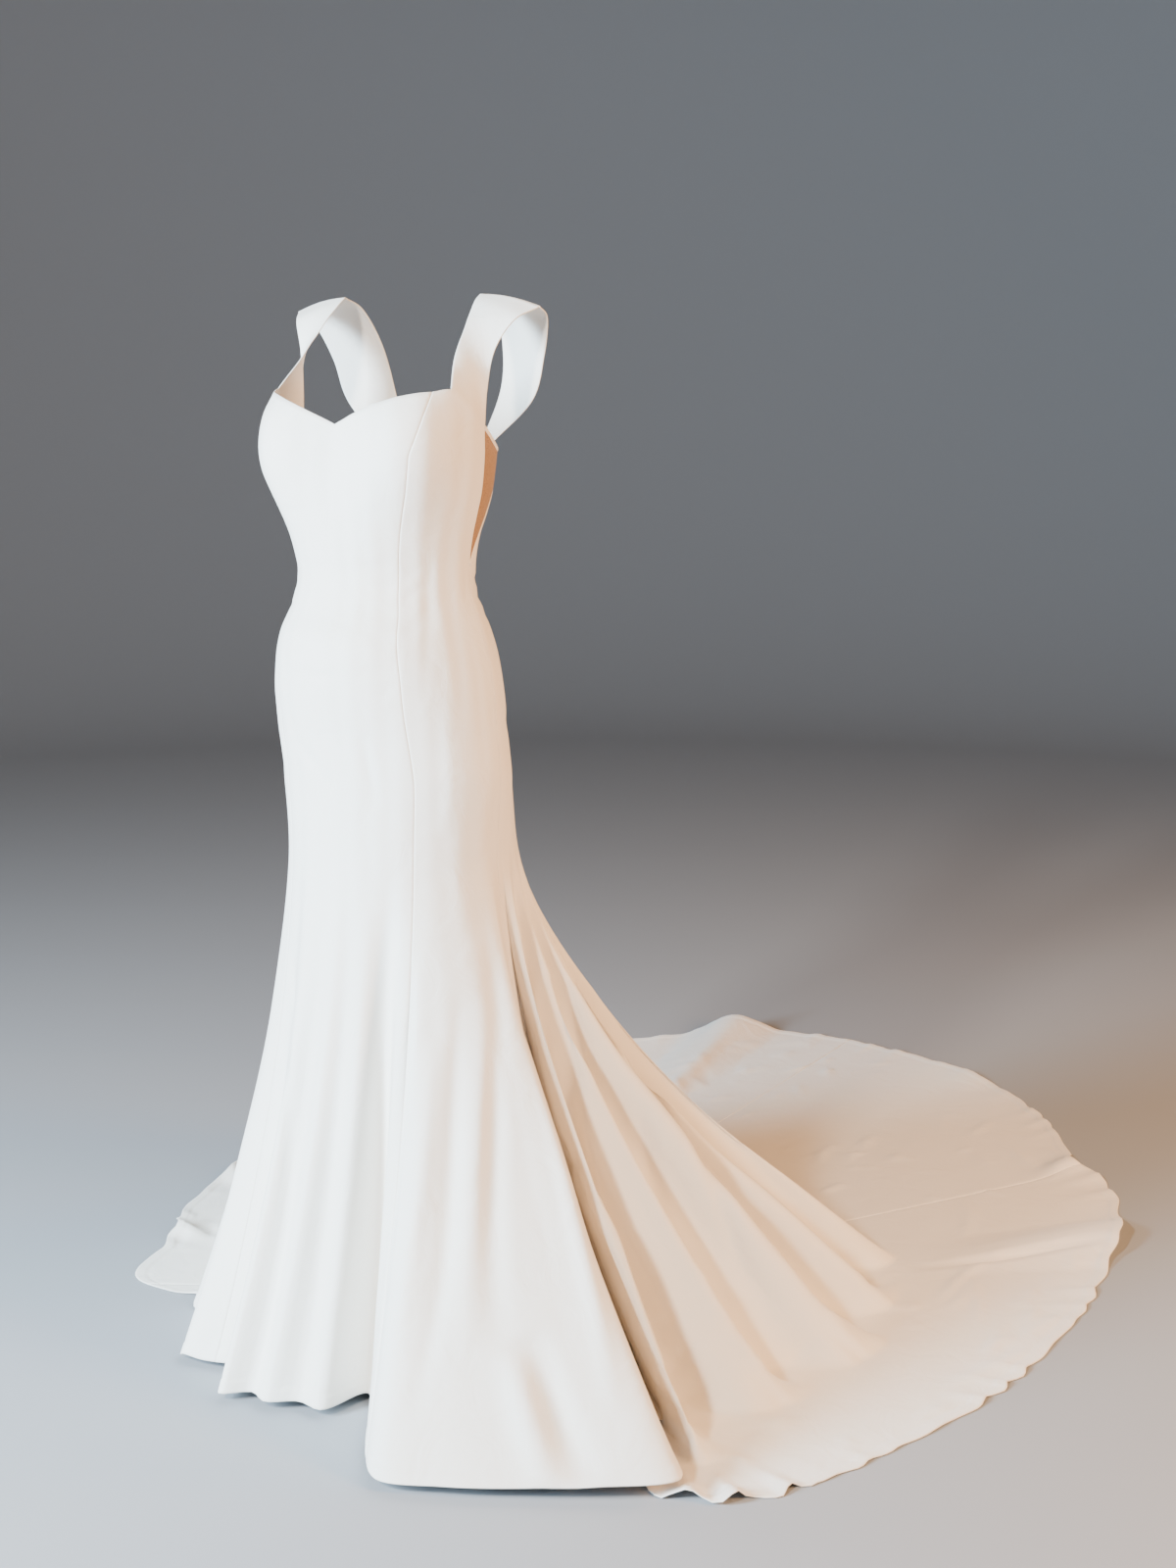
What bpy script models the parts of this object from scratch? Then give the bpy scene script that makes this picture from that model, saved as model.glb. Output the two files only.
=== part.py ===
"""Wedding dress: a fitted, sweetheart-necked crepe gown with wide straps, sheer side panels and a chapel train.

The gown is drafted standing on the floor (z = 0) with the wearer facing -Y, the wearer's left at +X and the
train running out along +Y. The finished pieces are then moved so that the origin lies midway between the tops
of the two shoulder straps, where the wearer holds the dress up.

Every panel is cut from one surface. Round the body the surface is a stack of sections, and below the hips it
is a fan of runs, one for each ridge and valley of the skirt, that drop to the floor and lie out to the hem.
Places round the dress are told by a girth number: 0 centre front, 1 front princess seam, 2 side seam,
3 back princess seam, 4 centre back, positive on the wearer's left and negative on the right.
"""
import math

import bmesh
import bpy
import numpy as np

# ---- driving dimensions (metres) -------------------------------------------------------------------------
SHOULDER_HEIGHT = 1.455      # top of the straps above the floor
SHOULDER_BACK = 0.046        # the straps cross the shoulder this far behind the drafting axis
CLOTH = 0.002                # wall of the crepe, with its lining
SHEER = 0.0015               # wall of the sheer side panels
SEAM_GAP = 0.0003            # pieces stand this far apart
STRAP_GAP = 0.0006           # the foot of a back strap above the bodice, whose edge leans away from it
SKIRT_TOP = 0.70             # the fitted body ends here and the skirt's runs begin
BUST_BASE = 1.10             # the neckline is shaped above this height
FLOOR_CLEAR = 0.0015         # middle of the cloth above the floor where it lies flat
BUTTON_PITCH = 0.035
BUTTON_SIZE = 0.011
BUTTON_RISE = 0.0045
BUTTON_TAPE = 0.0012         # the loop tape under the buttons
BODY_ROWS = 7                # rows from SKIRT_TOP to BUST_BASE
BUST_ROWS = 6                # rows from BUST_BASE to the neckline
SKIRT_ROWS = 14              # rows from SKIRT_TOP to the hem
STRAP_ROWS = 6               # rows from the neckline to the shoulder seam, and from there to the back
HEM_STEP = 0.085             # spacing of the columns along the hem
LEAST_FACE = 1e-6                            # faces under this size, in square metres, hardly turn a wall
SHEER_COLUMNS = 5

# ---- body sections: height, half width, depth to the front, depth to the back, sideways shift, cup ----------
BODY = (
    (1.460, 0.168, 0.105, 0.140, 0.000, 0.000),
    (1.330, 0.162, 0.104, 0.138, 0.000, 0.021),
    (1.303, 0.159, 0.105, 0.137, -0.002, 0.036),
    (1.276, 0.157, 0.107, 0.134, -0.003, 0.043),
    (1.256, 0.157, 0.109, 0.131, -0.004, 0.043),
    (1.224, 0.155, 0.112, 0.127, -0.005, 0.037),
    (1.198, 0.151, 0.114, 0.123, -0.005, 0.027),
    (1.171, 0.145, 0.115, 0.112, -0.006, 0.016),
    (1.144, 0.138, 0.115, 0.099, -0.006, 0.008),
    (1.117, 0.133, 0.114, 0.091, -0.006, 0.003),
    (1.091, 0.131, 0.112, 0.088, -0.006, 0.000),
    (1.064, 0.134, 0.115, 0.090, -0.007, 0.000),
    (1.036, 0.143, 0.124, 0.100, -0.007, 0.000),
    (1.010, 0.153, 0.137, 0.113, -0.008, 0.000),
    (0.983, 0.161, 0.142, 0.121, -0.008, 0.000),
    (0.955, 0.167, 0.141, 0.125, -0.008, 0.000),
    (0.928, 0.171, 0.139, 0.128, -0.008, 0.000),
    (0.900, 0.173, 0.135, 0.130, -0.007, 0.000),
    (0.873, 0.174, 0.131, 0.131, -0.006, 0.000),
    (0.846, 0.174, 0.129, 0.132, -0.003, 0.000),
    (0.818, 0.173, 0.128, 0.136, 0.000, 0.000),
    (0.790, 0.171, 0.127, 0.145, 0.000, 0.000),
    (0.762, 0.168, 0.127, 0.155, 0.000, 0.000),
    (0.734, 0.165, 0.127, 0.163, 0.000, 0.000),
    (0.700, 0.163, 0.128, 0.174, 0.000, 0.000),
    (0.600, 0.161, 0.129, 0.200, 0.000, 0.000),
)
CUP_ANGLE = 38.0             # the bust points, in degrees round from the centre front
CUP_SPREAD = 19.0

# ---- seams: height, then the angle of the front princess, side and back princess seams ---------------------
SEAMS = (
    (1.340, 50.0, 92.0, 158.0),
    (1.300, 45.0, 92.0, 158.0),
    (1.250, 40.0, 94.0, 157.0),
    (1.100, 41.0, 97.0, 150.0),
    (0.900, 39.0, 95.0, 150.0),
    (0.700, 41.0, 95.0, 150.0),
)

# ---- neckline: girth number, height -------------------------------------------------------------------------
NECKLINE = (
    (0.00, 1.288),
    (0.25, 1.302),
    (0.50, 1.316),
    (0.75, 1.326),
    (1.00, 1.330),
    (1.24, 1.333),
    (1.60, 1.312),
    (2.00, 1.284),
)
STRAP_START = 1.24           # girth number of the neckline corner, where the strap begins

# ---- straps: inner edge x, y, z and outer edge x, y, z, up the front, at the shoulder seam and down the back --
FRONT_STRAP = (
    (0.133, -0.028, 1.375, 0.160, 0.006, 1.335),
    (0.125, 0.006, 1.415, 0.168, 0.013, 1.385),
    (0.119, 0.032, 1.445, 0.189, 0.029, 1.424),
)
SHOULDER_SEAM = (0.117, 0.050, 1.458, 0.209, 0.056, 1.441)
BACK_STRAP = (
    (0.114, 0.085, 1.442, 0.203, 0.083, 1.425),
    (0.106, 0.115, 1.395, 0.184, 0.101, 1.375),
    (0.093, 0.127, 1.330, 0.162, 0.104, 1.318),
)
STRAP_CROWN = 0.004          # the straps are this much higher along their middle

# ---- sheer side panel: the angle of its back edge at a share of its height -----------------------------------
SHEER_EDGE = (
    (0.00, 97.0),
    (0.14, 103.0),
    (0.30, 112.0),
    (0.50, 122.0),
    (0.75, 132.0),
    (1.00, 140.0),
)
SHEER_TIP = 0.15             # share of its first row that is cut off its tip
UNDERARM_BACK = 1.262        # top of the sheer panel's back edge
UNDERARM_DIP = 0.018         # its top edge hangs this much below a straight line
BACK_NECK_CORNER = 1.245     # the back strap leaves the back princess seam here
BACK_NECK_CENTRE = 1.180

# ---- skirt: one row for each ridge and valley -----------------------------------------------------------------
# girth number, hem x, hem y, hem height, foot (share of the way out at which it meets the floor),
# drift (how far the foot lies to the left of the straight way out), sag (0 taut down to the foot, 1 slack)
SKIRT = (
    (-3.72, -0.240, 1.560, 0.000, 0.42, 0.000, 0.60),
    (-3.52, -0.322, 1.505, 0.024, 0.46, 0.000, 0.36),
    (-3.40, -0.402, 1.425, 0.000, 0.40, 0.000, 0.60),
    (-3.20, -0.470, 1.340, 0.000, 0.42, 0.000, 0.50),
    (-3.00, -0.590, 1.150, 0.000, 0.42, 0.000, 0.55),
    (-2.86, -0.675, 0.900, 0.012, 0.62, 0.000, 0.02),
    (-2.74, -0.695, 0.690, 0.000, 0.50, 0.000, 0.46),
    (-2.58, -0.680, 0.470, 0.000, 0.66, 0.000, 0.06),
    (-2.44, -0.638, 0.330, 0.000, 0.52, 0.000, 0.44),
    (-2.28, -0.560, 0.120, 0.000, 0.68, 0.000, 0.08),
    (-2.16, -0.478, -0.010, 0.000, 0.56, 0.000, 0.34),
    (-2.06, -0.425, -0.120, 0.000, 0.42, 0.000, 0.30),
    (-1.92, -0.340, -0.128, 0.000, 0.50, 0.000, 0.30),
    (-1.80, -0.240, -0.095, 0.008, 1.00, 0.000, 0.30),
    (-1.64, -0.278, -0.145, 0.006, 1.00, 0.000, 0.10),
    (-1.42, -0.190, -0.170, 0.006, 1.00, 0.000, 0.25),
    (-1.24, -0.160, -0.292, 0.010, 1.00, 0.000, 0.10),
    (-1.00, -0.105, -0.285, 0.010, 1.00, 0.000, 0.15),
    (-0.76, -0.060, -0.272, 0.012, 1.00, 0.000, 0.20),
    (-0.45, -0.030, -0.356, 0.012, 1.00, 0.000, 0.08),
    (-0.20, 0.004, -0.328, 0.012, 1.00, 0.000, 0.18),
    (0.02, 0.036, -0.340, 0.012, 1.00, 0.000, 0.08),
    (0.20, 0.074, -0.314, 0.012, 1.00, 0.000, 0.20),
    (0.38, 0.112, -0.318, 0.012, 1.00, 0.000, 0.08),
    (0.62, 0.130, -0.246, 0.012, 1.00, 0.000, 0.28),
    (0.84, 0.218, -0.350, 0.012, 1.00, 0.000, 0.15),
    (1.00, 0.248, -0.385, 0.012, 1.00, 0.000, 0.10),
    (1.10, 0.290, -0.420, 0.012, 1.00, 0.000, 0.08),
    (1.24, 0.377, -0.392, 0.014, 1.00, 0.000, 0.10),
    (1.50, 0.462, -0.344, 0.016, 1.00, 0.000, 0.10),
    (1.74, 0.545, -0.292, 0.020, 1.00, 0.000, 0.10),
    (1.88, 0.614, -0.238, 0.024, 1.00, 0.000, 0.08),
    (2.00, 0.500, -0.110, 0.016, 1.00, 0.000, 0.20),
    (2.04, 0.500, -0.050, 0.000, 0.85, 0.040, 0.30),
    (2.09, 0.575, -0.240, 0.000, 0.62, 0.100, 0.20),
    (2.13, 0.628, -0.244, 0.000, 0.72, 0.070, 0.10),
    (2.20, 0.674, -0.204, 0.000, 0.84, 0.020, 0.00),
    (2.29, 0.723, -0.133, 0.000, 0.56, 0.000, 0.50),
    (2.43, 0.782, 0.042, 0.000, 0.73, 0.000, 0.02),
    (2.50, 0.805, 0.135, 0.000, 0.60, 0.000, 0.28),
    (2.60, 0.826, 0.305, 0.000, 0.72, 0.000, -0.02),
    (2.68, 0.825, 0.455, 0.000, 0.57, 0.000, 0.36),
    (2.75, 0.818, 0.574, 0.000, 0.66, 0.000, 0.06),
    (2.83, 0.789, 0.735, 0.000, 0.50, 0.000, 0.46),
    (2.90, 0.760, 0.878, 0.024, 0.61, 0.000, 0.02),
    (2.94, 0.726, 0.956, 0.000, 0.48, 0.000, 0.42),
    (2.97, 0.680, 1.052, 0.000, 0.44, 0.000, 0.52),
    (3.00, 0.600, 1.130, 0.000, 0.40, 0.000, 0.66),
    (3.25, 0.417, 1.364, 0.000, 0.40, 0.000, 0.62),
    (3.60, 0.180, 1.534, 0.000, 0.40, 0.000, 0.56),
    (4.00, -0.092, 1.590, 0.000, 0.40, 0.000, 0.64),
)
UPPER_PULL = 0.10            # how far out a taut run is a third of the way down
LOWER_PULL = 0.60            # and three quarters of the way down
PATH_STEPS = 60              # points taken along each run before it is shared out into rows


def column(table, key, field):
    """A field of a table, read at a key by straight lines between its rows."""
    rows = sorted(table)
    return np.interp(key, [row[0] for row in rows], [row[field] for row in rows])


def smooth_column(table, key, field):
    """As column, but on a smooth curve through the rows."""
    rows = sorted(table)
    keys = np.array([row[0] for row in rows])
    values = np.array([row[field] for row in rows])
    return hermite(keys, values[:, None], np.atleast_1d(key))[:, 0]


def hermite(keys, values, wanted):
    """A smooth curve through values at rising keys, read at the wanted keys."""
    slopes = np.gradient(values, keys, axis=0)
    wanted = np.clip(wanted, keys[0], keys[-1])
    span = np.clip(np.searchsorted(keys, wanted, side="right") - 1, 0, len(keys) - 2)
    width = (keys[span + 1] - keys[span])[:, None]
    share = (wanted[:, None] - keys[span][:, None]) / width
    return (
        values[span] * (1 + 2 * share) * (1 - share) ** 2
        + slopes[span] * width * share * (1 - share) ** 2
        + values[span + 1] * share**2 * (3 - 2 * share)
        - slopes[span + 1] * width * share**2 * (1 - share)
    )


def seam_angle(girth, height):
    """The angle round the body, in degrees from the centre front, of a girth number at a height."""
    marks = [0.0] + [column(SEAMS, height, field) for field in (1, 2, 3)] + [180.0]
    return math.copysign(np.interp(abs(girth), range(5), marks), girth)


def body_point(angle, height):
    """A point on the fitted body at an angle in degrees and a height."""
    half_width, front, back, shift, cup = (smooth_column(BODY, height, field)[0] for field in range(1, 6))
    turn = math.radians(angle)
    depth = front if math.cos(turn) > 0 else back
    near_cup = math.exp(-(((abs(angle) - CUP_ANGLE) / CUP_SPREAD) ** 2) / 2)
    out = cup * near_cup
    return np.array((
        shift + (half_width + out) * math.sin(turn),
        -(depth + out) * math.cos(turn),
        height,
    ))


def fall_shape(reach, floor, sag):
    """The profile of a run from the hip down to its foot: points (distance out, height)."""
    drop = SKIRT_TOP - floor
    start = np.array((0.0, SKIRT_TOP))
    foot = np.array((reach, floor))
    taut_upper = np.array((UPPER_PULL * reach, SKIRT_TOP - 0.34 * drop))
    taut_lower = np.array((LOWER_PULL * reach, SKIRT_TOP - 0.72 * drop))
    slack_upper = np.array((0.0, SKIRT_TOP - 0.5 * drop))
    slack_lower = np.array((0.55 * reach, floor))
    upper = (1 - sag) * taut_upper + sag * slack_upper
    lower = (1 - sag) * taut_lower + sag * slack_lower
    share = np.linspace(0, 1, PATH_STEPS)[:, None]
    return (
        start * (1 - share) ** 3
        + 3 * upper * share * (1 - share) ** 2
        + 3 * lower * share**2 * (1 - share)
        + foot * share**3
    )


class Skirt:
    """The fan of skirt runs, read at any girth number and any share of the way to the hem."""

    def __init__(self, rows):
        back = [row for row in rows if row[0] == 4.0][0]
        table = [(-4.0,) + back[1:]] + [row for row in rows]
        self.girths = np.array([row[0] for row in table])
        self.hips = [body_point(seam_angle(row[0], SKIRT_TOP), SKIRT_TOP) for row in table]
        self.runs = [self.run(hip, row) for hip, row in zip(self.hips, table)]
        hem = np.array([row[1:3] for row in table])
        steps = np.linalg.norm(np.diff(hem, axis=0), axis=1)
        self.along = np.concatenate(((0.0,), np.cumsum(steps)))

    @staticmethod
    def run(hip, row):
        """Offsets from the hip along one run, with their shares of its length."""
        girth, hem_x, hem_y, hem_height, foot, drift, sag = row
        hem = np.array((hem_x, hem_y))
        way = hem - hip[:2]
        aside = unit(np.array((-way[1], way[0])))
        meets_floor = foot < 1.0
        touch = hip[:2] + foot * way + drift * aside
        heading = touch - hip[:2]
        reach = np.linalg.norm(heading)
        fall = fall_shape(reach, FLOOR_CLEAR + (0.0 if meets_floor else hem_height), sag)
        points = np.column_stack((fall[:, :1] * heading / reach, fall[:, 1] - hip[2]))
        if meets_floor:
            out = np.linspace(0, 1, PATH_STEPS)[1:, None]
            lift = hem_height * np.sin(np.pi / 2 * out) ** 2
            flat = np.hstack((touch - hip[:2] + out * (hem - touch), FLOOR_CLEAR - hip[2] + lift))
            points = np.vstack((points, flat))
        lengths = np.concatenate(((0.0,), np.cumsum(np.linalg.norm(np.diff(points, axis=0), axis=1))))
        return lengths / lengths[-1], points

    def point(self, girth, share):
        """The point of the skirt at a girth number, a share of the way from the hip to the hem."""
        offsets = np.array([
            [np.interp(share, shares, points[:, axis]) for axis in range(3)] for shares, points in self.runs
        ])
        place = np.interp(girth, self.girths, self.along)
        hip = body_point(seam_angle(girth, SKIRT_TOP), SKIRT_TOP)
        spot = hip + hermite(self.along, offsets, np.array([place]))[0]
        spot[2] = max(spot[2], FLOOR_CLEAR)
        return spot


def on_body(girth, height):
    """The point of the fitted body at a girth number and a height."""
    return body_point(seam_angle(girth, height), height)


def panel_girths(low, high):
    """Girth numbers of a panel's columns: every ridge and valley, with steps between them."""
    marks = [low] + [row[0] for row in SKIRT if low < row[0] < high] + [high]
    hem = [SHAPE.point(mark, 1.0) for mark in marks]
    girths = []
    for mark, following, start, end in zip(marks, marks[1:], hem, hem[1:]):
        steps = max(1, round(np.linalg.norm(end - start) / HEM_STEP))
        girths += list(np.linspace(mark, following, steps, endpoint=False))
    return girths + [high]


def lower_column(girth):
    """One column of points from the hem up to the bust base."""
    skirt = [SHAPE.point(girth, share) for share in SKIRT_SHARES]
    return skirt + [on_body(girth, height) for height in BODY_HEIGHTS]


def front_column(girth):
    """One column of a front panel, from the hem up to the neckline."""
    top = smooth_column(NECKLINE, abs(girth), 1)[0]
    heights = np.linspace(BUST_BASE, top, BUST_ROWS + 1)[1:]
    return lower_column(girth) + [on_body(girth, height) for height in heights]


def sheer_point(side, up, across):
    """A point of the side panel: up 0 to 1 from its tip to the armhole, across 0 to 1 from front to back."""
    armhole = smooth_column(NECKLINE, 2.0, 1)[0]
    front_height = BUST_BASE + (armhole - BUST_BASE) * up
    back_height = BUST_BASE + (UNDERARM_BACK - BUST_BASE) * up
    height = front_height + (back_height - front_height) * across
    height -= UNDERARM_DIP * math.sin(math.pi * across) * up**3
    front_angle = seam_angle(2.0, front_height)
    angle = front_angle + (column(SHEER_EDGE, up, 1) - front_angle) * across
    return body_point(side * angle, height)


def side_back_column(girth):
    """One column of a side back panel, from the hem up to the foot of the back strap."""
    side = math.copysign(1.0, girth)
    share = abs(girth) - 2.0
    upper = []
    for up in np.linspace(0, 1, BUST_ROWS + 1)[1:]:
        edge = sheer_point(side, up, 1.0)
        seam_height = BUST_BASE + (BACK_NECK_CORNER - BUST_BASE) * up
        height = edge[2] + (seam_height - edge[2]) * share
        angle = column(SHEER_EDGE, up, 1)
        angle += (seam_angle(3.0, seam_height) - angle) * share
        upper.append(body_point(side * angle, height))
    return lower_column(girth) + upper


def back_column(girth):
    """One column of a centre back panel, from the hem up to the back neckline."""
    share = abs(girth) - 3.0
    top = BACK_NECK_CORNER + (BACK_NECK_CENTRE - BACK_NECK_CORNER) * share ** 0.8
    heights = np.linspace(BUST_BASE, top, BUST_ROWS + 1)[1:]
    return lower_column(girth) + [on_body(girth, height) for height in heights]


def strap_column(edges, share, foot):
    """Points up a strap from its foot, at a share of the way across it from its inner edge."""
    keys = np.arange(len(edges), dtype=float)
    wanted = np.linspace(0, len(edges) - 1, STRAP_ROWS + 1)
    inner = hermite(keys, np.array([edge[0] for edge in edges]), wanted)
    outer = hermite(keys, np.array([edge[1] for edge in edges]), wanted)
    points = inner + (outer - inner) * share
    points[:, 2] += STRAP_CROWN * math.sin(math.pi * share) * np.minimum(wanted, 1.0)
    fade = np.clip(1 - wanted / 2, 0, 1)[:, None]
    return list(points + (foot - points[0]) * fade)


def strap_edges(foot_inner, foot_outer, rows, side):
    """The foot and the table rows of a strap as pairs of points on its inner and outer edges."""
    flip = np.array((side, 1.0, 1.0))
    return [(foot_inner, foot_outer)] + [(np.array(row[:3]) * flip, np.array(row[3:]) * flip) for row in rows]


def front_columns():
    """Columns of the centre front panel, from the right princess seam to the left one."""
    return [front_column(girth) for girth in panel_girths(-1.0, 1.0)]


def side_girths(side, low, high):
    """Girth numbers of one side's panel, without their sign, from its front seam to its back seam."""
    if side > 0:
        return panel_girths(low, high)
    return [-girth for girth in reversed(panel_girths(-high, -low))]


def side_front_columns(side):
    """Columns of a side front panel; those behind the neckline corner run on up the strap."""
    girths = side_girths(side, 1.0, 2.0)
    columns = [front_column(side * girth) for girth in girths]
    corner = girths.index(STRAP_START)
    feet = [points[-1] for points in columns[corner:]]
    edges = strap_edges(feet[0], feet[-1], FRONT_STRAP + (SHOULDER_SEAM,), side)
    for index, foot in enumerate(feet):
        share = index / (len(feet) - 1)
        columns[corner + index] += strap_column(edges, share, foot)[1:]
    return columns


def side_back_columns(side):
    """Columns of a side back panel, from the side seam to the back princess seam."""
    return [side_back_column(side * girth) for girth in side_girths(side, 2.0, 3.0)]


def back_columns(side):
    """Columns of a centre back panel, from the back princess seam to the centre back."""
    return [back_column(side * girth) for girth in side_girths(side, 3.0, 4.0)]


def back_strap_columns(side):
    """Columns of a back strap, from the back of the bodice up to the shoulder seam."""
    girths = side_girths(side, 1.0, 2.0)
    shares = np.linspace(0, 1, len(girths) - girths.index(STRAP_START))
    feet = [side_back_column(side * (3.0 - share))[-1] for share in shares]
    rows = tuple(reversed(BACK_STRAP)) + (SHOULDER_SEAM,)
    edges = strap_edges(feet[0], feet[-1], rows, side)
    columns = [strap_column(edges, share, foot) for share, foot in zip(shares, feet)]
    for points in columns:
        points[0] = points[0] + unit(points[1] - points[0]) * STRAP_GAP
    return columns


def sheer_columns(side):
    """Columns of a sheer side panel, from the side seam to the side back panel."""
    ups = np.linspace(0, 1, BUST_ROWS + 1)
    columns = [[sheer_point(side, up, across) for up in ups] for across in np.linspace(0, 1, SHEER_COLUMNS)]
    for points in columns:
        points[0] = points[0] + (points[1] - points[0]) * SHEER_TIP
    return columns


def unit(vector):
    """The vector at length one."""
    return vector / np.linalg.norm(vector)


def part_seams(columns):
    """Draw a panel's outer columns, and its top row, in by half a seam gap."""
    half = SEAM_GAP / 2
    for edge, inner in ((0, 1), (-1, -2)):
        columns[edge] = [
            point + unit(columns[inner][min(row, len(columns[inner]) - 1)] - point) * half
            for row, point in enumerate(columns[edge])
        ]
    for points in columns:
        points[-1] = points[-1] + unit(points[-2] - points[-1]) * half
    return columns


def quads(columns):
    """The corners of every quad of a panel, as (column, row) pairs going round it."""
    for index, (left, right) in enumerate(zip(columns, columns[1:])):
        for row in range(min(len(left), len(right)) - 1):
            yield ((index, row), (index + 1, row), (index + 1, row + 1), (index, row + 1))


def seam_key(point):
    """A point rounded so that the same place on two panels gives the same key."""
    return tuple(np.round(point, 5))


def shared_normals(panels):
    """The outward normal at every point, from every face that meets there, large or small alike.

    Panels that share a seam then get walls whose edges lie in one plane, however sharply the cloth
    folds at the seam, so the walls meet along it without crossing.
    """
    normals = {}
    for side, columns, *_ in panels:
        for corners in quads(columns):
            a, b, c, d = (columns[column][row] for column, row in corners)
            normal = side * np.cross(c - a, d - b)
            normal = normal / (np.linalg.norm(normal) + LEAST_FACE)
            for point in (a, b, c, d):
                key = seam_key(point)
                normals[key] = normals.get(key, np.zeros(3)) + normal
    return normals


def cloth_wall(name, columns, thickness, material, normals):
    """A named cloth wall, half its thickness to each side of a panel's points."""
    outs = [[unit(normals[seam_key(point)]) * thickness / 2 for point in points] for points in columns]
    columns = part_seams([list(points) for points in columns])
    shape = bmesh.new()
    layers = []
    for sign in (1, -1):
        layers.append([
            [shape.verts.new(point + out * sign) for point, out in zip(points, column_outs)]
            for points, column_outs in zip(columns, outs)
        ])
    edges = {}
    for corners in quads(columns):
        for layer in layers:
            shape.faces.new([layer[column][row] for column, row in corners])
        for start, end in zip(corners, corners[1:] + corners[:1]):
            if not edges.pop((end, start), False):
                edges[start, end] = True
    for start, end in edges:
        outer, inner = layers
        shape.faces.new((outer[start[0]][start[1]], outer[end[0]][end[1]],
                         inner[end[0]][end[1]], inner[start[0]][start[1]]))
    bmesh.ops.recalc_face_normals(shape, faces=shape.faces)
    add_piece(name, shape, material)


def add_piece(name, shape, material):
    """Turn a bmesh into a named object in the dress's collection, in the finished frame."""
    mesh = bpy.data.meshes.new(name)
    shape.to_mesh(mesh)
    shape.free()
    mesh.shade_smooth()
    mesh.materials.append(material)
    piece = bpy.data.objects.new(name, mesh)
    piece.location = (0.0, -SHOULDER_BACK, -SHOULDER_HEIGHT)
    COLLECTION.objects.link(piece)
    return piece


def button_row(name, material):
    """The loop tape down the centre back with its covered buttons raised on it, as one piece."""
    middle = back_column(4.0)[::-1]
    left = back_column(3.98)[::-1]
    across = [unit(near - point) for near, point in zip(left, middle)]
    along = [unit(after - before) for before, after in zip(middle, middle[1:])]
    faces_out = [unit(np.cross(step, side)) for step, side in zip(along, across)]
    lift = CLOTH / 2 + SEAM_GAP
    rings = []
    studs = []
    for index, (start, end) in enumerate(zip(middle, middle[1:])):
        length = np.linalg.norm(end - start)
        count = max(1, round(length / BUTTON_PITCH))
        pitch = length / count
        marks = [0.0]
        for button in range(count):
            centre = (button + 0.5) * pitch
            studs.append(len(rings) + len(marks))
            marks += [centre - BUTTON_SIZE / 2, centre + BUTTON_SIZE / 2]
        if index == len(middle) - 2:
            marks.append(length)
        for mark in marks:
            out = faces_out[index] if mark else unit(faces_out[index] + faces_out[max(index - 1, 0)])
            share = mark / length
            side = unit(across[index] * (1 - share) + across[index + 1] * share)
            rings.append((start + (end - start) * share, side, out))
    shape = bmesh.new()
    corners = []
    for spot, side, out in rings:
        low, high = spot + out * lift, spot + out * (lift + BUTTON_TAPE)
        half = side * BUTTON_SIZE / 2
        corners.append([shape.verts.new(point) for point in (low - half, low + half, high + half, high - half)])
    tops = []
    for ring, following in zip(corners, corners[1:]):
        for edge in range(4):
            turn = (edge + 1) % 4
            face = shape.faces.new((ring[edge], ring[turn], following[turn], following[edge]))
            if edge == 2:
                tops.append(face)
    shape.faces.new(corners[0][::-1])
    shape.faces.new(corners[-1])
    bmesh.ops.recalc_face_normals(shape, faces=shape.faces)
    buttons = [tops[stud] for stud in studs]
    bmesh.ops.inset_individual(shape, faces=buttons, thickness=BUTTON_SIZE * 0.10, depth=BUTTON_RISE * 0.7)
    bmesh.ops.inset_individual(shape, faces=buttons, thickness=BUTTON_SIZE * 0.18, depth=BUTTON_RISE * 0.3)
    return add_piece(name, shape, material)


def fabric(name, colour, roughness):
    """A plain material of one colour and roughness."""
    material = bpy.data.materials.new(name)
    material.use_nodes = True
    shader = material.node_tree.nodes["Principled BSDF"]
    shader.inputs["Base Color"].default_value = (*colour, 1.0)
    shader.inputs["Roughness"].default_value = roughness
    shader.inputs["Metallic"].default_value = 0.0
    return material


for leftover in list(bpy.data.objects):
    bpy.data.objects.remove(leftover)

COLLECTION = bpy.data.collections.new("wedding_dress")
bpy.context.scene.collection.children.link(COLLECTION)

SHAPE = Skirt(SKIRT)
SKIRT_SHARES = np.linspace(1.0, 0.0, SKIRT_ROWS + 1)[:-1]
BODY_HEIGHTS = np.linspace(SKIRT_TOP, BUST_BASE, BODY_ROWS + 1)

crepe = fabric("ivory_crepe", (0.87, 0.84, 0.79), 0.62)
mesh_lace = fabric("nude_mesh", (0.48, 0.33, 0.19), 0.80)
satin = fabric("ivory_satin", (0.88, 0.84, 0.77), 0.45)

panels = {"front_centre": (1, front_columns(), CLOTH, crepe)}
for side, letter in ((1, "L"), (-1, "R")):
    panels[f"side_front_{letter}"] = (side, side_front_columns(side), CLOTH, crepe)
    panels[f"side_back_{letter}"] = (side, side_back_columns(side), CLOTH, crepe)
    panels[f"back_{letter}"] = (side, back_columns(side), CLOTH, crepe)
    panels[f"back_strap_{letter}"] = (-side, back_strap_columns(side), CLOTH, crepe)
    panels[f"sheer_side_{letter}"] = (side, sheer_columns(side), SHEER, mesh_lace)
NORMALS = shared_normals(panels.values())
for name, (_, columns, thickness, material) in panels.items():
    cloth_wall(name, columns, thickness, material, NORMALS)
button_row("back_buttons", satin)
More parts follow.
